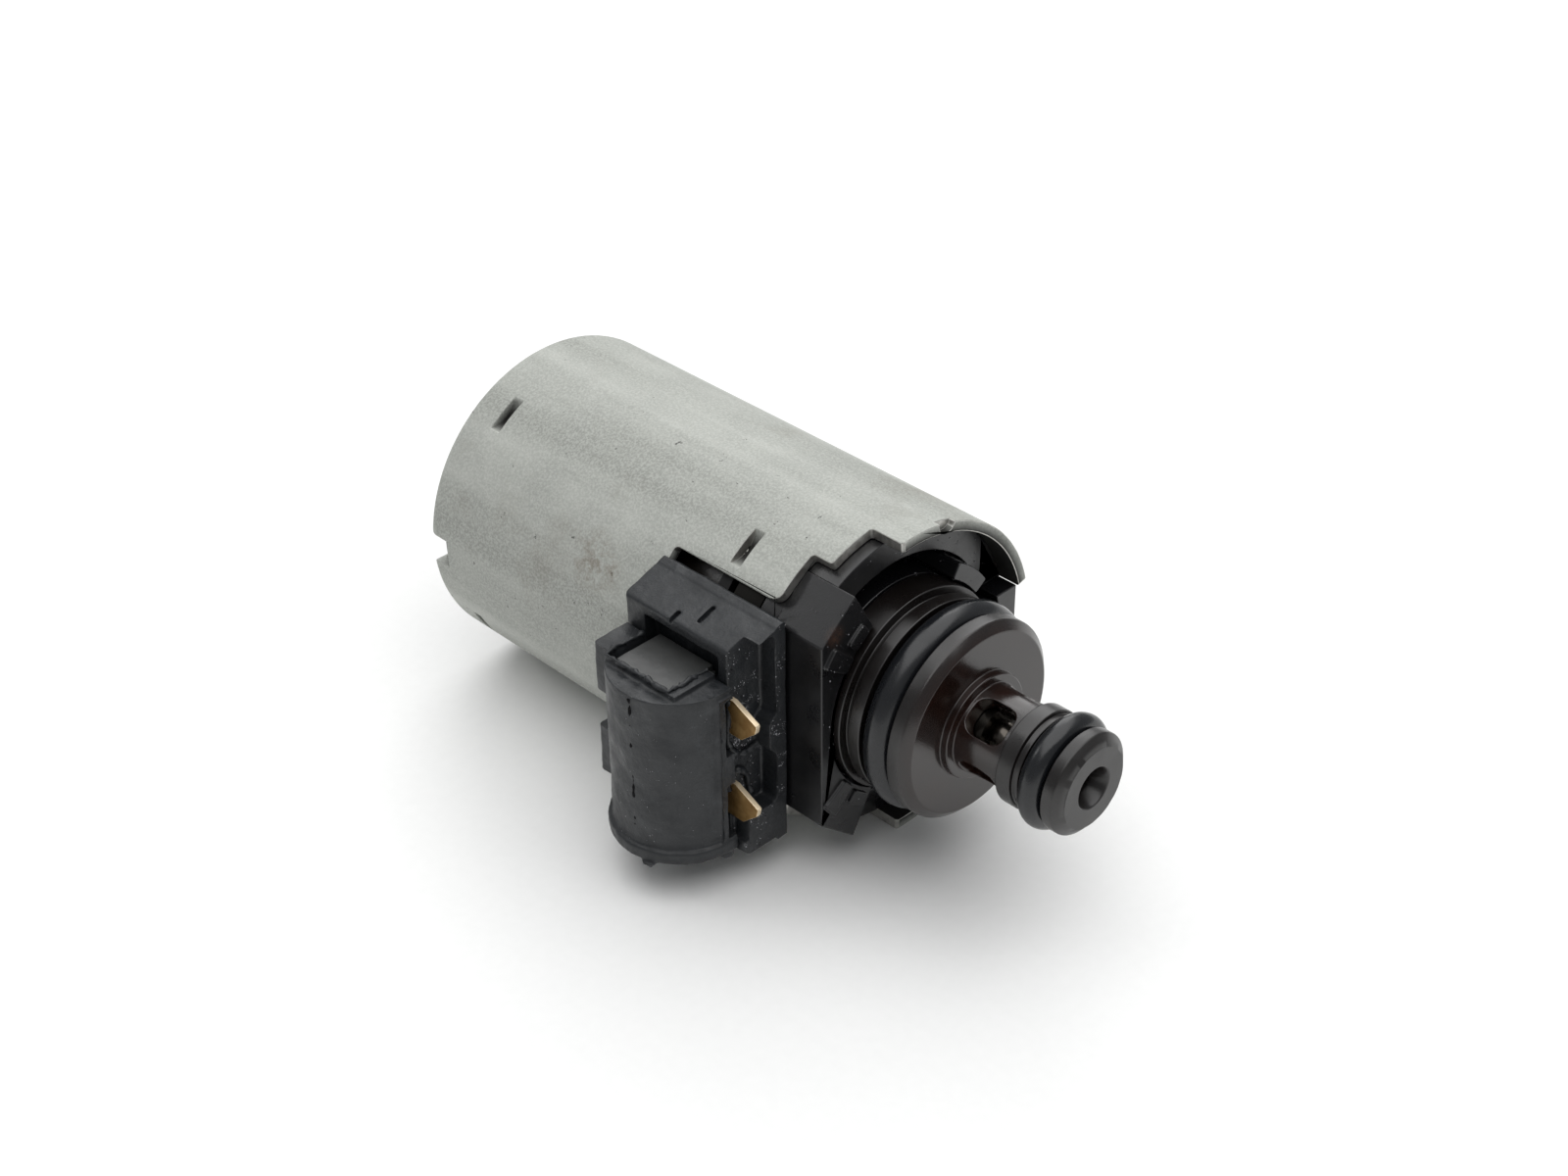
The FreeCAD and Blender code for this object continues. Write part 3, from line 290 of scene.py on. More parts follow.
# %% Spring steel
def spring_steel():
    """Drawn wire: dark, with long die lines and a thin film of oil."""
    material, tree, place = begin("spring_steel")
    line = add(tree, "ShaderNodeTexNoise", {"Vector": place, "Scale": per(0.15), "Detail": 3.0})
    film = add(tree, "ShaderNodeTexNoise", {"Vector": place, "Scale": per(1.5), "Detail": 2.0})
    tone = add(
        tree, "ShaderNodeMix", {0: film, 6: linear("#86847f"), 7: linear("#63605c")}, data_type="RGBA"
    )
    end(tree, line, 0.004, {"Metallic": 1.0, "Base Color": tone, "Roughness": 0.3})
    return material


# %% Bronze
def bearing_bronze():
    """Turned bronze of the bush, the shim and the rear bumper."""
    material, tree, place = begin("bronze")
    ringed = add(tree, "ShaderNodeMapping", {"Vector": place, "Scale": (1.0, 0.06, 0.06)})
    ring = add(tree, "ShaderNodeTexNoise", {"Vector": ringed, "Scale": per(0.2), "Detail": 2.0})
    pore = add(
        tree, "ShaderNodeTexNoise", {"Vector": place, "Scale": per(0.4), "Detail": 4.0, "Roughness": 0.7}
    )
    tone = add(
        tree, "ShaderNodeMix", {0: pore, 6: linear("#8c5f33"), 7: linear("#c08d52")}, data_type="RGBA"
    )
    end(tree, ring, 0.006, {"Metallic": 1.0, "Base Color": tone, "Roughness": 0.34})
    return material


# %% Ground steel
def ground_steel():
    """Hardened valve seats with a fine ground haze."""
    material, tree, place = begin("seat_steel")
    haze = add(tree, "ShaderNodeTexNoise", {"Vector": place, "Scale": per(0.1), "Detail": 2.0})
    film = add(tree, "ShaderNodeTexNoise", {"Vector": place, "Scale": per(2.0), "Detail": 3.0})
    tone = add(
        tree, "ShaderNodeMix", {0: film, 6: linear("#5b5853"), 7: linear("#45423e")}, data_type="RGBA"
    )
    end(tree, haze, 0.003, {"Metallic": 1.0, "Base Color": tone, "Roughness": 0.24})
    return material


# %% Lapped ball
def lapped_steel():
    """Bearing ball: polished, under a brown film of oil."""
    material, tree, place = begin("ball_steel")
    track = add(tree, "ShaderNodeTexNoise", {"Vector": place, "Scale": per(0.5), "Detail": 3.0})
    rough = add(tree, "ShaderNodeMapRange", {"Value": track, "To Min": 0.16, "To Max": 0.28})
    tone = add(
        tree, "ShaderNodeMix", {0: track, 6: linear("#5f5b56"), 7: linear("#4c4742")}, data_type="RGBA"
    )
    end(tree, track, 0.001, {"Metallic": 1.0, "Base Color": tone, "Roughness": rough})
    return material


# %% [markdown]
# ## Black mouldings wet with oil
# The flange and the connector are glass filled nylon, and the nose is a harder, very dark brown resin.
# All of them leave the mould with a fine satin skin, and all are wet with oil. Oil fills the skin, so a
# wet patch is smoother and shinier than a dry one. The roughness therefore follows a patchy noise, and
# tiny pale grains of dirt show where the film is thin.


# %% Flange nylon
def flange_nylon():
    """Black glass filled nylon, wet, with one rusty smear left by the can's edge."""
    material, tree, place = begin("flange_nylon")
    skin = add(tree, "ShaderNodeTexNoise", {"Vector": place, "Scale": per(0.16), "Detail": 2.0})
    wet = add(
        tree, "ShaderNodeTexNoise", {"Vector": place, "Scale": per(2.6), "Detail": 4.0, "Roughness": 0.6}
    )
    dust = add(
        tree, "ShaderNodeTexNoise", {"Vector": place, "Scale": per(0.4), "Detail": 3.0, "Roughness": 0.75}
    )
    rubbed = (46.3 * mm, -9.2 * mm, 9.6 * mm)
    here = add(tree, "ShaderNodeVectorMath", {0: place, 1: rubbed}, operation="DISTANCE")
    blur = add(tree, "ShaderNodeMath", {0: dust, 1: 1.6 * mm}, operation="MULTIPLY")
    reach = add(tree, "ShaderNodeMath", {0: here, 1: blur}, operation="ADD")
    smear = {"Value": reach, "From Min": 0.9 * mm, "From Max": 2.1 * mm, "To Min": 0.8, "To Max": 0.0}
    rusty = add(tree, "ShaderNodeMapRange", smear)
    flaky = add(tree, "ShaderNodeMapRange", {"Value": dust, "From Min": 0.4, "From Max": 0.62})
    rusty = add(tree, "ShaderNodeMath", {0: rusty, 1: flaky}, operation="MULTIPLY")
    dusty = add(
        tree, "ShaderNodeMapRange", {"Value": dust, "From Min": 0.71, "From Max": 0.78, "To Max": 0.25}
    )
    tone = add(
        tree, "ShaderNodeMix", {0: wet, 6: linear("#0b0b0d"), 7: linear("#111113")}, data_type="RGBA"
    )
    tone = add(tree, "ShaderNodeMix", {0: rusty, 6: tone, 7: linear("#5c4030")}, data_type="RGBA")
    tone = add(tree, "ShaderNodeMix", {0: dusty, 6: tone, 7: linear("#77767a")}, data_type="RGBA")
    film = {"Value": wet, "From Min": 0.35, "From Max": 0.65, "To Min": 0.38, "To Max": 0.26}
    rough = add(tree, "ShaderNodeMapRange", film)
    end(tree, skin, 0.008, {"IOR": 1.56, "Base Color": tone, "Roughness": rough})
    return material


# %% Nose resin
def nose_resin():
    """Very dark brown resin, polished by the mould and wet, with a painted red glow where the neck's walls
    are thin.
    """
    material, tree, place = begin("nose_resin")
    skin = add(tree, "ShaderNodeTexNoise", {"Vector": place, "Scale": per(0.14), "Detail": 2.0})
    wet = add(tree, "ShaderNodeTexNoise", {"Vector": place, "Scale": per(3.4), "Detail": 3.0})
    warm = add(tree, "ShaderNodeTexNoise", {"Vector": place, "Scale": per(1.6), "Detail": 3.0})
    spot = add(tree, "ShaderNodeSeparateXYZ", {"Vector": place})
    neck_middle = 55.9 * mm
    neck = add(tree, "ShaderNodeMath", {0: spot.outputs["X"], 1: neck_middle}, operation="SUBTRACT")
    neck = add(tree, "ShaderNodeMath", {0: neck}, operation="ABSOLUTE")
    reach = {"Value": neck, "From Min": 2.0 * mm, "From Max": 3.4 * mm, "To Min": 0.8, "To Max": 0.0}
    thin = add(tree, "ShaderNodeMapRange", reach)
    # Painted glow: near the neck the colour turns warm red, as if light shone through the thin walls.
    painted_glow = add(tree, "ShaderNodeMath", {0: thin, 1: warm}, operation="MULTIPLY")
    tone = add(
        tree, "ShaderNodeMix", {0: wet, 6: linear("#0e0b0a"), 7: linear("#151110")}, data_type="RGBA"
    )
    tone = add(tree, "ShaderNodeMix", {0: painted_glow, 6: tone, 7: linear("#2c1710")}, data_type="RGBA")
    film = {"Value": wet, "From Min": 0.38, "From Max": 0.62, "To Min": 0.38, "To Max": 0.26}
    rough = add(tree, "ShaderNodeMapRange", film)
    rough = add(tree, "ShaderNodeMix", {0: thin, 2: rough, 3: 0.12}, data_type="FLOAT")
    end(tree, skin, 0.004, {"IOR": 1.6, "Base Color": tone, "Roughness": rough})
    return material


# %% Connector nylon
def connector_nylon():
    """Slate black nylon of the block and the cap: satin and scuffed under an uneven oil film."""
    material, tree, place = begin("connector_nylon")
    skin = add(tree, "ShaderNodeTexNoise", {"Vector": place, "Scale": per(0.2), "Detail": 3.0})
    wave = add(tree, "ShaderNodeTexNoise", {"Vector": place, "Scale": per(1.4), "Detail": 2.0})
    wet = add(
        tree, "ShaderNodeTexNoise", {"Vector": place, "Scale": per(3.2), "Detail": 4.0, "Roughness": 0.6}
    )
    dust = add(
        tree, "ShaderNodeTexNoise", {"Vector": place, "Scale": per(0.45), "Detail": 3.0, "Roughness": 0.75}
    )
    scuff = add(
        tree, "ShaderNodeTexNoise", {"Vector": place, "Scale": per(1.8), "Detail": 5.0, "Roughness": 0.7}
    )
    dusty = add(
        tree, "ShaderNodeMapRange", {"Value": dust, "From Min": 0.68, "From Max": 0.76, "To Max": 0.3}
    )
    scuffed = add(
        tree, "ShaderNodeMapRange", {"Value": scuff, "From Min": 0.56, "From Max": 0.7, "To Max": 0.35}
    )
    tone = add(
        tree, "ShaderNodeMix", {0: wet, 6: linear("#16181b"), 7: linear("#212427")}, data_type="RGBA"
    )
    tone = add(tree, "ShaderNodeMix", {0: scuffed, 6: tone, 7: linear("#3b3e41")}, data_type="RGBA")
    tone = add(tree, "ShaderNodeMix", {0: dusty, 6: tone, 7: linear("#6d6f74")}, data_type="RGBA")
    film = {"Value": wet, "From Min": 0.4, "From Max": 0.62, "To Min": 0.56, "To Max": 0.36}
    rough = add(tree, "ShaderNodeMapRange", film)
    lumps = add(tree, "ShaderNodeMath", {0: wave, 1: 3.0, 2: skin}, operation="MULTIPLY_ADD")
    look = {"IOR": 1.53, "Specular IOR Level": 0.45, "Base Color": tone, "Roughness": rough}
    end(tree, lumps, 0.03, look)
    return material


# %% Lid nylon
def lid_nylon():
    """Greyer and drier nylon of the lid, smooth from its own mould."""
    material, tree, place = begin("lid_nylon")
    skin = add(tree, "ShaderNodeTexNoise", {"Vector": place, "Scale": per(0.2), "Detail": 3.0})
    cloud = add(tree, "ShaderNodeTexNoise", {"Vector": place, "Scale": per(2.0), "Detail": 4.0})
    tone = add(
        tree, "ShaderNodeMix", {0: cloud, 6: linear("#343535"), 7: linear("#444544")}, data_type="RGBA"
    )
    end(tree, skin, 0.01, {"IOR": 1.53, "Base Color": tone, "Roughness": 0.42})
    return material


# %% Painted seam shade
def painted_seam_shade():
    """Black, dull and crumbly: painted shade of the nicks along the cap's seam."""
    material, tree, place = begin("painted_seam_shade")
    seam_grain = add(
        tree, "ShaderNodeTexNoise", {"Vector": place, "Scale": per(0.25), "Detail": 4.0, "Roughness": 0.7}
    )
    tone = add(
        tree, "ShaderNodeMix", {0: seam_grain, 6: linear("#060607"), 7: linear("#121214")}, data_type="RGBA"
    )
    end(tree, seam_grain, 0.05, {"Specular IOR Level": 0.15, "Base Color": tone, "Roughness": 0.8})
    return material


# %% Nitrile rubber
def nitrile_rubber():
    """Blue black seal rubber, soft sheen under oil."""
    material, tree, place = begin("seal_rubber")
    skin = add(tree, "ShaderNodeTexNoise", {"Vector": place, "Scale": per(0.2), "Detail": 2.0})
    cloud = add(tree, "ShaderNodeTexNoise", {"Vector": place, "Scale": per(2.4), "Detail": 3.0})
    tone = add(
        tree, "ShaderNodeMix", {0: cloud, 6: linear("#131417"), 7: linear("#1a1c1f")}, data_type="RGBA"
    )
    film = {"Value": cloud, "From Min": 0.35, "From Max": 0.65, "To Min": 0.32, "To Max": 0.18}
    rough = add(tree, "ShaderNodeMapRange", film)
    end(tree, skin, 0.004, {"IOR": 1.52, "Base Color": tone, "Roughness": rough})
    return material


# %% [markdown]
# ## Brass, copper and the parts of the coil
# The blades are stamped from brass strip: their flat sides have tarnished to brown, and the sheared edges
# and the tips, which the plug rubs, stay bright. The winding is enamelled copper wire. Its turns are too
# fine to model one by one under the tape, so a wave texture with the pitch of the wire gives them.


# %% Stamped brass
def stamped_brass():
    """Flat side of a brass blade, tarnished to an even brown."""
    material, tree, place = begin("terminal_brass")
    grain = add(tree, "ShaderNodeTexNoise", {"Vector": place, "Scale": per(0.12), "Detail": 2.0})
    tarnish = add(
        tree, "ShaderNodeTexNoise", {"Vector": place, "Scale": per(1.4), "Detail": 4.0, "Roughness": 0.6}
    )
    dull = add(tree, "ShaderNodeMapRange", {"Value": tarnish, "From Min": 0.36, "From Max": 0.62})
    tone = add(
        tree, "ShaderNodeMix", {0: dull, 6: linear("#b08e5c"), 7: linear("#8f6d3f")}, data_type="RGBA"
    )
    end(tree, grain, 0.004, {"Metallic": 0.75, "Base Color": tone, "Roughness": 0.42})
    return material


# %% Rubbed brass
def rubbed_brass():
    """Sheared edge of a blade, rubbed bright and pale by the plug."""
    material, tree, place = begin("rubbed_brass")
    grain = add(tree, "ShaderNodeTexNoise", {"Vector": place, "Scale": per(0.12), "Detail": 2.0})
    tone = add(
        tree, "ShaderNodeMix", {0: grain, 6: linear("#f6e6cc"), 7: linear("#e3cba4")}, data_type="RGBA"
    )
    end(tree, grain, 0.004, {"Metallic": 0.6, "Base Color": tone, "Roughness": 0.4})
    return material


# %% Enamelled copper
def enamelled_copper():
    """Wire laid turn beside turn at a pitch of 0.35 mm, under clear amber enamel."""
    material, tree, place = begin("copper_wire")
    turns = add(tree, "ShaderNodeTexWave", {"Vector": place, "Scale": per(0.35) / 20}, bands_direction="X")
    shade = add(tree, "ShaderNodeTexNoise", {"Vector": place, "Scale": per(2.0), "Detail": 2.0})
    tone = add(
        tree, "ShaderNodeMix", {0: shade, 6: linear("#8a3f20"), 7: linear("#bb6a3c")}, data_type="RGBA"
    )
    end(tree, turns, 0.1, {"Metallic": 0.9, "Base Color": tone, "Roughness": 0.3})
    return material


# %% Polyimide tape
def polyimide_tape():
    """Tape over the winding, wrinkled where it overlaps, its amber gone dark brown in hot oil."""
    material, tree, place = begin("winding_tape")
    crease = add(tree, "ShaderNodeTexNoise", {"Vector": place, "Scale": per(1.5), "Detail": 4.0})
    tone = add(
        tree, "ShaderNodeMix", {0: crease, 6: linear("#120d08"), 7: linear("#1f160c")}, data_type="RGBA"
    )
    end(tree, crease, 0.06, {"IOR": 1.7, "Base Color": tone, "Roughness": 0.3})
    return material


# %% Spool nylon
def spool_nylon():
    """Dry black nylon of the spool, with short pale glass fibres in its skin."""
    material, tree, place = begin("spool_nylon")
    fibre = add(
        tree, "ShaderNodeTexNoise", {"Vector": place, "Scale": per(0.3), "Detail": 4.0, "Roughness": 0.7}
    )
    shown = add(
        tree, "ShaderNodeMapRange", {"Value": fibre, "From Min": 0.55, "From Max": 0.75, "To Max": 0.4}
    )
    tone = add(
        tree, "ShaderNodeMix", {0: shown, 6: linear("#111213"), 7: linear("#232425")}, data_type="RGBA"
    )
    end(tree, fibre, 0.01, {"IOR": 1.53, "Base Color": tone, "Roughness": 0.5})
    return material


# %% Epoxy
def diode_epoxy():
    """Glossy black epoxy of the suppressor."""
    material, tree, place = begin("diode_epoxy")
    peel = add(tree, "ShaderNodeTexNoise", {"Vector": place, "Scale": per(0.5), "Detail": 2.0})
    tone = add(
        tree, "ShaderNodeMix", {0: peel, 6: linear("#0d0d0e"), 7: linear("#1c1c1e")}, data_type="RGBA"
    )
    end(tree, peel, 0.006, {"IOR": 1.55, "Base Color": tone, "Roughness": 0.22})
    return material


# %% Dirt
def oily_grit():
    """Fine metal and clutch dust that settles in oil: dark grains, some of them bright."""
    material, tree, place = begin("oily_grit")
    mix = add(tree, "ShaderNodeTexNoise", {"Vector": place, "Scale": per(0.5), "Detail": 1.0})
    bright = add(tree, "ShaderNodeMapRange", {"Value": mix, "From Min": 0.48, "From Max": 0.56})
    tone = add(
        tree, "ShaderNodeMix", {0: bright, 6: linear("#232326"), 7: linear("#a4a4a8")}, data_type="RGBA"
    )
    end(tree, mix, 0.01, {"Metallic": 0.5, "Base Color": tone, "Roughness": 0.3})
    return material


# %% Make them all
finishes = {
    "zinc_plated_steel": zinc_plated_steel(),
    "sheared_steel": sheared_steel(),
    "core_steel": soft_iron(),
    "phosphated_steel": phosphated_steel(),
    "stainless_steel": stainless_steel(),
    "spring_steel": spring_steel(),
    "bronze": bearing_bronze(),
    "seat_steel": ground_steel(),
    "ball_steel": lapped_steel(),
    "flange_nylon": flange_nylon(),
    "nose_resin": nose_resin(),
    "connector_nylon": connector_nylon(),
    "lid_nylon": lid_nylon(),
    "painted_seam_shade": painted_seam_shade(),
    "seal_rubber": nitrile_rubber(),
    "terminal_brass": stamped_brass(),
    "rubbed_brass": rubbed_brass(),
    "copper_wire": enamelled_copper(),
    "winding_tape": polyimide_tape(),
    "spool_nylon": spool_nylon(),
    "diode_epoxy": diode_epoxy(),
    "oily_grit": oily_grit(),
}
print("materials:", len(finishes))

# %% [markdown]
# ## The solids' own finishes
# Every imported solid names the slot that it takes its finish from, so the solids that stay as they are get
# their material by that name.

# %% Finish every solid
slot_of = {}
for name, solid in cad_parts.items():
    slot_of[name] = solid.material_slots[0].material.name.split(".")[0]
    for place in solid.material_slots:
        place.material = finishes[slot_of[name]]
print("solids finished:", len(slot_of))

# %% [markdown]
# ## A copy to dress
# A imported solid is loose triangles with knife-sharp edges. No real edge is that sharp, and the eye reads
# the thin line of light along a rounded edge as real. So each piece that shows is copied and the copy is
# dressed. Its doubles are merged and its flat areas are joined to single faces first. It is worked on in
# millimetres, because some tools have a least size that is too coarse for metres, and is turned back to
# metres when its modifiers have been made plain.


# %% Copy a solid, and make a piece plain
def copied(name):
    """Object with a solid's mesh in millimetres, its triangles joined."""
    work = bmesh.new()
    work.from_mesh(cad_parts[name].data)
    bmesh.ops.scale(work, vec=(1 / mm, 1 / mm, 1 / mm), verts=work.verts)
    bmesh.ops.remove_doubles(work, verts=work.verts, dist=0.001)
    bmesh.ops.dissolve_limit(work, verts=work.verts, edges=work.edges, angle_limit=math.radians(0.4))
    mesh = bpy.data.meshes.new(name + "_skin")
    work.to_mesh(mesh)
    work.free()
    mesh.shade_smooth()
    skin = bpy.data.objects.new(name + "_skin", mesh)
    bpy.context.collection.objects.link(skin)
    return skin


def plain(piece, scale=1.0):
    """Swap a piece's mesh for what its modifiers make, at a scale, and remove the modifiers."""
    graph = bpy.context.evaluated_depsgraph_get()
    mesh = bpy.data.meshes.new_from_object(piece.evaluated_get(graph))
    piece.modifiers.clear()
    mesh.transform(Matrix.Scale(scale, 4))
    piece.data = mesh


# %% [markdown]
# ## Punched and turned edges
# The can and the blades are punched and the nose is a hard moulding, so their edges are crisp: 0.06 to
# 0.15 mm. A Bevel modifier rounds what is sharper than a set angle, and a Weighted Normal modifier keeps
# the flats flat beside the new roundings.


# %% Crisp edges
def crisp(name, edge_mm):
    """Copy of a solid with narrow rounded edges."""
    skin = copied(name)
    if edge_mm:
        bevel = skin.modifiers.new("edges", "BEVEL")
        bevel.width = edge_mm
        bevel.segments = 2
        bevel.limit_method = "ANGLE"
        bevel.angle_limit = math.radians(38.0)
        bevel.use_clamp_overlap = False
        skin.modifiers.new("flats", "WEIGHTED_NORMAL").keep_sharp = True
    plain(skin, mm)
    return skin


edge_sizes = {
    "can_shell": 0.1,
    "rear_plate": 0.15,
    "front_flange": 0.12,
    "nose_body": 0.12,
    "terminal_upper": 0.06,
    "terminal_lower": 0.06,
    "large_o_ring": 0.0,
    "small_o_ring": 0.0,
    "return_spring": 0.0,
}
skins = {name: crisp(name, size) for name, size in edge_sizes.items()}

# %% [markdown]
# ## Soft mouldings
# The connector's nylon has been hot and handled: its edges are round and a little melted, not bevelled.
# A voxel Remesh turns the copy into one even skin, a few rounds of Smooth let its edges sink, a Displace
# with a cloud texture gives it shallow melted dents, and a Decimate takes back the faces that the flats
# don't need. The dents go inwards, so no piece grows.


# %% Soft edges
melt = bpy.data.textures.new("melt", "CLOUDS")
melt.noise_scale = 2.2
melt.noise_depth = 2


def softened(name, voxel_mm, rounds, dent_mm):
    """Copy of a solid as one even skin with sunken edges and shallow dents."""
    skin = copied(name)
    remesh = skin.modifiers.new("skin", "REMESH")
    remesh.mode = "VOXEL"
    remesh.voxel_size = voxel_mm
    remesh.use_smooth_shade = True
    smooth = skin.modifiers.new("sink", "SMOOTH")
    smooth.factor = 0.5
    smooth.iterations = rounds
    dents = skin.modifiers.new("dents", "DISPLACE")
    dents.texture = melt
    dents.texture_coords = "LOCAL"
    dents.strength = dent_mm
    dents.mid_level = 0.85
    thin = skin.modifiers.new("thin", "DECIMATE")
    thin.decimate_type = "COLLAPSE"
    thin.ratio = 0.45
    plain(skin, mm)
    skin.data.shade_smooth()
    return skin


skins["connector_block"] = softened("connector_block", voxel_mm=0.1, rounds=5, dent_mm=0.16)
skins["connector_cap"] = softened("connector_cap", voxel_mm=0.1, rounds=5, dent_mm=0.22)
skins["suppressor_lid"] = softened("suppressor_lid", voxel_mm=0.07, rounds=4, dent_mm=0.1)
for name, skin in skins.items():
    skin.data.materials.clear()
    skin.data.materials.append(finishes[slot_of[name]])
    print(name, "faces:", len(skin.data.polygons))

# %% [markdown]
# ## The lid's gap, and the blades' edges
# The lid is a little smaller than its recess, and the gap round it reads as a black line. A blade shows
# two finishes: brown on its flat sides and bright on its sheared edges. Its largest face tells which way
# the flats look, and the edges are the faces that look elsewhere. The rear plate has a finish of its own.

# %% Lid and blades
lid = skins["suppressor_lid"].data
lid_low, lid_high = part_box("suppressor_lid")
centre = (lid_low + lid_high) / 2
lid_share = 0.955
shrink = Matrix.Diagonal((lid_share, lid_share, 1.0, 1.0))
lid.transform(Matrix.Translation(centre) @ shrink @ Matrix.Translation(-centre))
lid.materials[0] = finishes["lid_nylon"]
skins["rear_plate"].data.materials[0] = finishes["phosphated_steel"]
for name in ("terminal_upper", "terminal_lower"):
    blade = skins[name].data
    blade.materials.append(finishes["rubbed_brass"])
    flat = max(blade.polygons, key=lambda face: face.area).normal.copy()
    for face in blade.polygons:
        face.material_index = int(abs(face.normal.dot(flat)) < 0.6)
    print(name, "edge faces:", sum(face.material_index for face in blade.polygons))

# %% [markdown]
# ## Crumbs in the oil
# Where oil stands, it catches crumbs of metal and clutch dust: round the blades, on the block's front rib
# and on the flange's steps. They are far too many to place by hand, so Geometry Nodes strew them: points
# are spread on a patch of the surface, thicker near a chosen spot and where a noise is high, and each gets
# a small many-sided grain of its own size and turn. The tree's sizes are named inputs, and every patch has
# a fixed seed.


# %% Helpers for the geometry trees
def inputs_of(tree, **kinds):
    """Give a geometry tree its named inputs, and return their sockets inside it by name."""
    tree.interface.new_socket("Geometry", in_out="INPUT", socket_type="NodeSocketGeometry")
    tree.interface.new_socket("Geometry", in_out="OUTPUT", socket_type="NodeSocketGeometry")
    for name, kind in kinds.items():
        tree.interface.new_socket(name, in_out="INPUT", socket_type="NodeSocket" + kind)
    return add(tree, "NodeGroupInput").outputs


def grown(ground, tree, **values):
    """Run a geometry tree on an object in millimetres and make it plain, in metres."""
    modifier = ground.modifiers.new(tree.name, "NODES")
    modifier.node_group = tree
    for item in tree.interface.items_tree:
        if item.in_out == "INPUT" and item.name in values:
            modifier[item.identifier] = values[item.name]
    plain(ground, mm)
    return ground


# %% Tree that strews crumbs
def strewing_tree():
    """Grains of dirt over a surface, thicker in some places."""
    tree = bpy.data.node_groups.new("strewn_crumbs", "GeometryNodeTree")
    sizes = {"per_mm2": "Float", "smallest": "Float", "largest": "Float", "clump": "Float"}
    value = inputs_of(tree, **sizes, focus="Vector", reach="Float", seed="Int", finish="Material")
    drift = add(tree, "ShaderNodeTexNoise", {"Scale": value["clump"], "Detail": 2.0})
    thick = add(tree, "ShaderNodeMapRange", {"Value": drift, "From Min": 0.47, "From Max": 0.62})
    here = add(tree, "GeometryNodeInputPosition")
    away = add(tree, "ShaderNodeVectorMath", {0: here, 1: value["focus"]}, operation="DISTANCE")
    near = {"Value": away.outputs["Value"], "From Max": value["reach"], "To Min": 1.0, "To Max": 0.0}
    near = add(tree, "ShaderNodeMapRange", near)
    thick = add(tree, "ShaderNodeMath", {0: thick, 1: near}, operation="MULTIPLY")
    amount = add(tree, "ShaderNodeMath", {0: thick, 1: value["per_mm2"]}, operation="MULTIPLY")
    spread = {"Mesh": value["Geometry"], "Density": amount, "Seed": value["seed"]}
    points = add(tree, "GeometryNodeDistributePointsOnFaces", spread)
    grain = add(tree, "GeometryNodeMeshIcoSphere", {"Radius": 0.5, "Subdivisions": 1})
    size = {2: value["smallest"], 3: value["largest"], "Seed": value["seed"]}
    size = add(tree, "FunctionNodeRandomValue", size, data_type="FLOAT")
    shape = {0: (0.5, 0.5, 0.3), 1: (1.3, 1.0, 0.8), "Seed": value["seed"]}
    shape = add(tree, "FunctionNodeRandomValue", shape, data_type="FLOAT_VECTOR")
    scale = add(tree, "ShaderNodeVectorMath", {0: shape, "Scale": size}, operation="SCALE")
    turn = {0: (0.0, 0.0, 0.0), 1: (6.28, 6.28, 6.28), "Seed": value["seed"]}
    turn = add(tree, "FunctionNodeRandomValue", turn, data_type="FLOAT_VECTOR")
    place = {"Points": points, "Instance": grain, "Rotation": turn, "Scale": scale}
    grains = add(tree, "GeometryNodeInstanceOnPoints", place)
    whole = add(tree, "GeometryNodeRealizeInstances", {"Geometry": grains})
    dirty = add(tree, "GeometryNodeSetMaterial", {"Geometry": whole, "Material": value["finish"]})
    add(tree, "NodeGroupOutput", {"Geometry": dirty})
    return tree


# %% Patches of surface that hold crumbs
def patch(name, source, keep):
    """Faces of a piece that pass a test, as an object in millimetres."""
    work = bmesh.new()
    work.from_mesh(skins[source].data)
    bmesh.ops.scale(work, vec=(1 / mm, 1 / mm, 1 / mm), verts=work.verts)
    work.normal_update()
    rest = [face for face in work.faces if not keep(face.normal, face.calc_center_median())]
    bmesh.ops.delete(work, geom=rest, context="FACES")
    ground = bpy.data.objects.new(name, bpy.data.meshes.new(name))
    work.to_mesh(ground.data)
    work.free()
    bpy.context.collection.objects.link(ground)
    return ground


def front_of_block(n, at):
    return n.x > 0.5 and at.x > 39.5


def skin_of_cap(n, at):
    return n.y < -0.3 or at.z > 5.3


def front_of_flange(n, at):
    return n.x > 0.3 and at.x > 39.0


def steps_of_flange(n, at):
    return n.x > -0.1 and at.x > 39.0


strewing = strewing_tree()
# Each row: spot, piece, faces, crumbs per square mm, largest in mm, clumps per mm, centre and reach in mm
places = [
    ("block_front", "connector_block", front_of_block, 44.0, 0.19, 0.6, (40.4, -12.5, -1.0), 14.0),
    ("upper_blade", "connector_block", front_of_block, 90.0, 0.26, 1.5, (40.4, -15.0, -0.9), 1.7),
    ("lower_blade", "connector_block", front_of_block, 90.0, 0.26, 1.5, (40.4, -15.0, -9.9), 1.7),
    ("cap", "connector_cap", skin_of_cap, 4.0, 0.11, 0.35, (37.0, -22.0, -3.0), 16.0),
    ("flange", "front_flange", front_of_flange, 7.0, 0.16, 0.4, (42.0, -6.0, 6.0), 18.0),
    ("upper_step", "front_flange", steps_of_flange, 70.0, 0.22, 1.2, (41.0, -2.2, 10.9), 2.4),
    ("far_step", "front_flange", steps_of_flange, 50.0, 0.2, 1.2, (42.5, 6.0, 8.2), 2.2),
]
crumbs = []
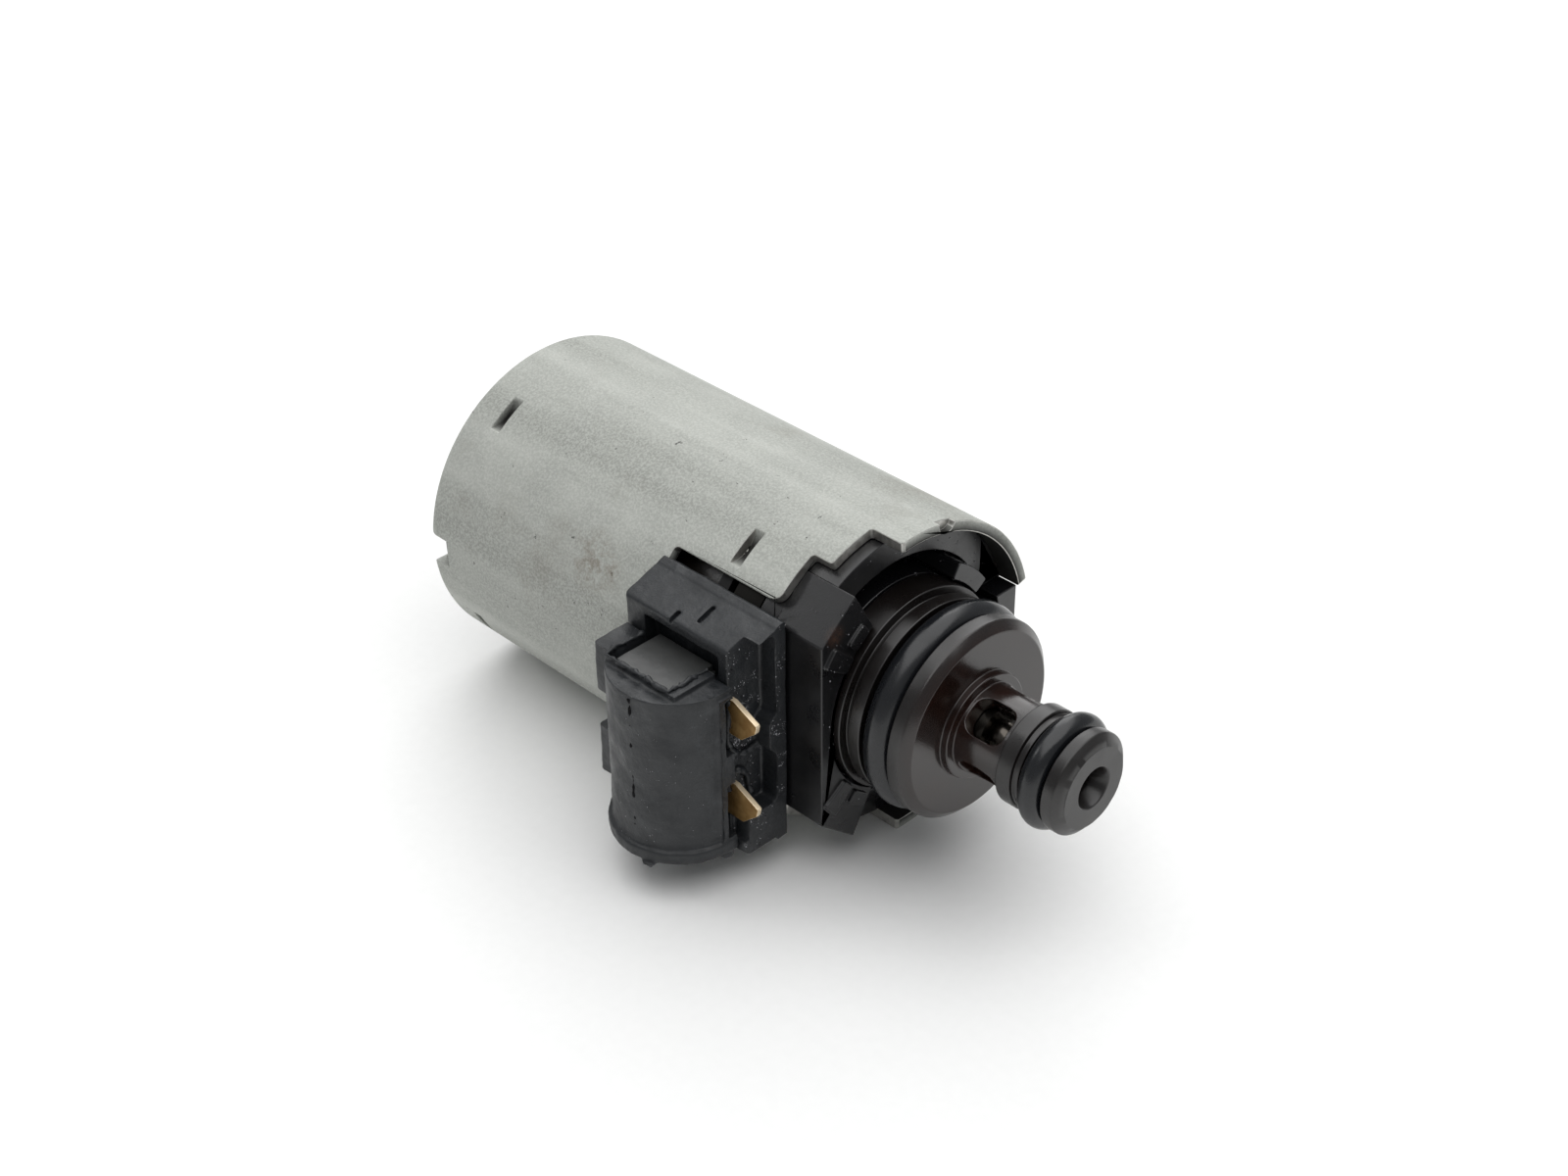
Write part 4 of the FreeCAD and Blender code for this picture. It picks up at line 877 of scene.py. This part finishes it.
for number, (spot, source, keep, amount, largest, clump, focus, reach) in enumerate(places):
    ground = patch("crumbs_" + spot, source, keep)
    sizes = {"per_mm2": amount, "smallest": 0.04, "largest": largest, "clump": clump}
    sizes.update(focus=focus, reach=reach, seed=11 + number, finish=finishes["oily_grit"])
    crumbs.append(grown(ground, strewing, **sizes))
for piece in crumbs:
    print(piece.name, "faces:", len(piece.data.polygons))

# %% [markdown]
# ## Melted beads
# The lid was pressed into the warm cap, and the nylon that it pushed aside stands up round it as an
# uneven bead. Thicker beads lie round the pockets of the two blades, and a thin black one, broken in many
# places, runs down the cap's front as painted shade of the nicks in its seam. A bead follows a path, so one
# geometry tree makes them all: the path is cut in short steps, each step is moved a little by a noise, and
# a small circle whose size also follows a noise is drawn along it. The paths below are in millimetres.


# %% Tree that lays a bead
def bead_tree():
    """Uneven round bead along a path."""
    tree = bpy.data.node_groups.new("melted_bead", "GeometryNodeTree")
    sizes = {"step": "Float", "radius": "Float", "thinnest": "Float", "wobble": "Float"}
    value = inputs_of(tree, **sizes, finish="Material")
    path = add(tree, "GeometryNodeMeshToCurve", {"Mesh": value["Geometry"]})
    path = add(tree, "GeometryNodeResampleCurve", {"Curve": path, "Length": value["step"]}, mode="LENGTH")
    shake = add(tree, "ShaderNodeTexNoise", {"Scale": 0.9, "Detail": 2.0}).outputs["Color"]
    shake = add(tree, "ShaderNodeVectorMath", {0: shake, 1: (0.5, 0.5, 0.5)}, operation="SUBTRACT")
    shake = add(tree, "ShaderNodeVectorMath", {0: shake, "Scale": value["wobble"]}, operation="SCALE")
    path = add(tree, "GeometryNodeSetPosition", {"Geometry": path, "Offset": shake})
    swell = add(tree, "ShaderNodeTexNoise", {"Scale": 1.3, "Detail": 2.0})
    swell = {"Value": swell, "From Min": 0.4, "From Max": 0.62, "To Min": value["thinnest"]}
    swell = add(tree, "ShaderNodeMapRange", swell)
    circle = add(tree, "GeometryNodeCurvePrimitiveCircle", {"Resolution": 8, "Radius": value["radius"]})
    laid = {"Curve": path, "Profile Curve": circle, "Scale": swell, "Fill Caps": True}
    laid = add(tree, "GeometryNodeCurveToMesh", laid)
    laid = add(tree, "GeometryNodeSetShadeSmooth", {"Geometry": laid})
    whole = add(tree, "GeometryNodeRealizeInstances", {"Geometry": laid})
    done = add(tree, "GeometryNodeSetMaterial", {"Geometry": whole, "Material": value["finish"]})
    add(tree, "NodeGroupOutput", {"Geometry": done})
    return tree


# %% Lay the beads
def path_piece(name, corners):
    """Open path of straight edges as an object."""
    mesh = bpy.data.meshes.new(name)
    mesh.from_pydata(corners, [(i, i + 1) for i in range(len(corners) - 1)], [])
    piece = bpy.data.objects.new(name, mesh)
    bpy.context.collection.objects.link(piece)
    return piece


cap_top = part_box("connector_cap")[1].z / mm + 0.02
rim = 0.3
left_x, right_x = lid_low.x / mm - rim, lid_high.x / mm + rim
near_y, far_y = lid_low.y / mm - rim, -16.2
round_lid = [(left_x, far_y, cap_top), (left_x, near_y, cap_top), (right_x, near_y, cap_top)]
round_lid.append((right_x, far_y, cap_top))
recess = 40.45  # X of the block's sunk face, and a little more, so that half of a bead shows
upper = [(-15.7, 4.0), (-16.0, 1.9), (-16.0, 0.0), (-15.5, -1.6), (-14.2, -2.3), (-13.0, -2.1)]
lower = [(-16.2, -5.2), (-15.9, -3.8), (-14.9, -3.5), (-14.1, -4.7), (-13.8, -6.3), (-13.7, -8.0)]
upper_lip = [(recess, y, z) for y, z in upper]
lower_lip = [(recess, y, z) for y, z in lower]
seam = [(35.8, -22.4, 5.2), (35.8, -22.4, -8.0)]
laying = bead_tree()
nylon = finishes["connector_nylon"]
# Black finish of the seam's bead: painted shade of its nicks.
seam_shade = finishes["painted_seam_shade"]
lid_bead = path_piece("lid_bead", round_lid)
pocket_bead = path_piece("upper_lip", upper_lip)
arch_bead = path_piece("lower_lip", lower_lip)
seam_bead = path_piece("cap_seam", seam)
beads = [
    grown(lid_bead, laying, step=0.22, radius=0.3, thinnest=0.35, wobble=0.55, finish=nylon),
    grown(pocket_bead, laying, step=0.25, radius=0.42, thinnest=0.4, wobble=0.6, finish=nylon),
    grown(arch_bead, laying, step=0.25, radius=0.42, thinnest=0.4, wobble=0.6, finish=nylon),
    # The seam's bead is black: painted shade of the nicks down the cap's front.
    grown(seam_bead, laying, step=0.15, radius=0.16, thinnest=0.0, wobble=0.35, finish=seam_shade),
]
for bead in beads:
    print(bead.name, "faces:", len(bead.data.polygons))

# %% [markdown]
# ## Bare steel on the can's cut edges
# The window, the steps and the front rim were punched, some of them after plating, so their faces are
# bare and bright. The cut faces are the ones that point neither outwards nor inwards: they are found by
# comparing each face's normal with the direction from the can's axis.

# %% Mark the cut edges
can = skins["can_shell"]
can.data.materials.append(finishes["sheared_steel"])
rim_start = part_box("connector_block")[0].x - 2 * mm
inner_face = 13.9 * mm
cut_faces = 0
for face in can.data.polygons:
    centre = face.center
    outward = Vector((0.0, centre.y, centre.z)).normalized()
    radius = math.hypot(centre.y, centre.z)
    if centre.x > rim_start and radius > inner_face and abs(face.normal.dot(outward)) < 0.5:
        face.material_index = 1
        cut_faces += 1
print("cut faces:", cut_faces)

# %% [markdown]
# ## Ride and stand in
# Each copy, crumb and bead rides on the housing's body, and each copy stands in for its solid.

# %% Join the copies to the frame
for name, skin in skins.items():
    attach(skin, "housing")
    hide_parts(name)
for piece in crumbs + beads:
    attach(piece, "housing")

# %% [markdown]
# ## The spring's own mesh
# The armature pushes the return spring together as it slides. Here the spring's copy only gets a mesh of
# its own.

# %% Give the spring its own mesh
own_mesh(skins["return_spring"])

# %% [markdown]
# ## Floor, light and camera
# The part lies on a large pale floor. One broad soft light hangs above it. A small one to the left draws
# the thin bright lines on oily rings, and one behind the part gives the faces that look up their sheen. The
# room is dim, so faces that look at the camera stay dark.
#
# The camera stands where the photographer stood: its place and its tilt were worked out from the can's
# two rims and the nose's circles.

# %% Floor
floor_mesh = bpy.data.meshes.new("floor")
half = 3.0
drop = cad_box[0].z
corners = [(-half, -half, drop), (half, -half, drop), (half, half, drop), (-half, half, drop)]
floor_mesh.from_pydata(corners, [], [(0, 1, 2, 3)])
floor = bpy.data.objects.new("floor", floor_mesh)
bpy.context.collection.objects.link(floor)


def white_card():
    """Matt white card under the part."""
    material, tree, place = begin("white_card")
    fibre = add(tree, "ShaderNodeTexNoise", {"Vector": place, "Scale": per(1.0), "Detail": 2.0})
    tone = add(
        tree, "ShaderNodeMix", {0: fibre, 6: linear("#f4f4f3"), 7: linear("#f8f8f7")}, data_type="RGBA"
    )
    end(tree, fibre, 0.01, {"Base Color": tone, "Roughness": 0.9})
    return material


floor.data.materials.append(white_card())


# %% Lights
def softbox(name, place, target, width, height, watts):
    """Rectangular area light at a place, aimed at a target."""
    lamp = bpy.data.lights.new(name, "AREA")
    lamp.shape = "RECTANGLE"
    lamp.size = width
    lamp.size_y = height
    lamp.energy = watts
    holder = bpy.data.objects.new(name, lamp)
    holder.location = place
    holder.rotation_euler = (Vector(target) - Vector(place)).to_track_quat("-Z", "Y").to_euler()
    bpy.context.collection.objects.link(holder)


middle = (0.033, -0.004, 0.0)
softbox("overhead", (0.06, 0.05, 0.6), middle, 1.1, 1.0, 5.8)
softbox("behind", (-0.45, 0.5, 0.4), middle, 0.5, 0.5, 1.6)
softbox("left", (-0.45, -0.3, 0.4), middle, 0.14, 0.14, 0.26)

world = bpy.data.worlds.new("studio")
bpy.context.scene.world = world
world.use_nodes = True
world.node_tree.nodes.clear()
room = add(world.node_tree, "ShaderNodeBackground", {"Color": linear("#f2f4f6"), "Strength": 0.3})
add(world.node_tree, "ShaderNodeOutputWorld", {"Surface": room})

# %% Camera
station = (0.15660, -0.12389, 0.12377)
back = Vector((0.5872, -0.5787, 0.5660)).normalized()
right = Vector((0.70631, 0.70784, -0.00901))
up = back.cross(right).normalized()
right = up.cross(back).normalized()
lens = bpy.data.cameras.new("camera")
lens.lens = 56.37
lens.sensor_width = 36.0
lens.clip_start = 0.01
lens.clip_end = 20.0
camera = bpy.data.objects.new("camera", lens)
turn = Matrix((right, up, back)).transposed().to_4x4()
camera.matrix_world = Matrix.Translation(station) @ turn
bpy.context.collection.objects.link(camera)
bpy.context.scene.camera = camera
bpy.context.scene.view_settings.view_transform = "Standard"
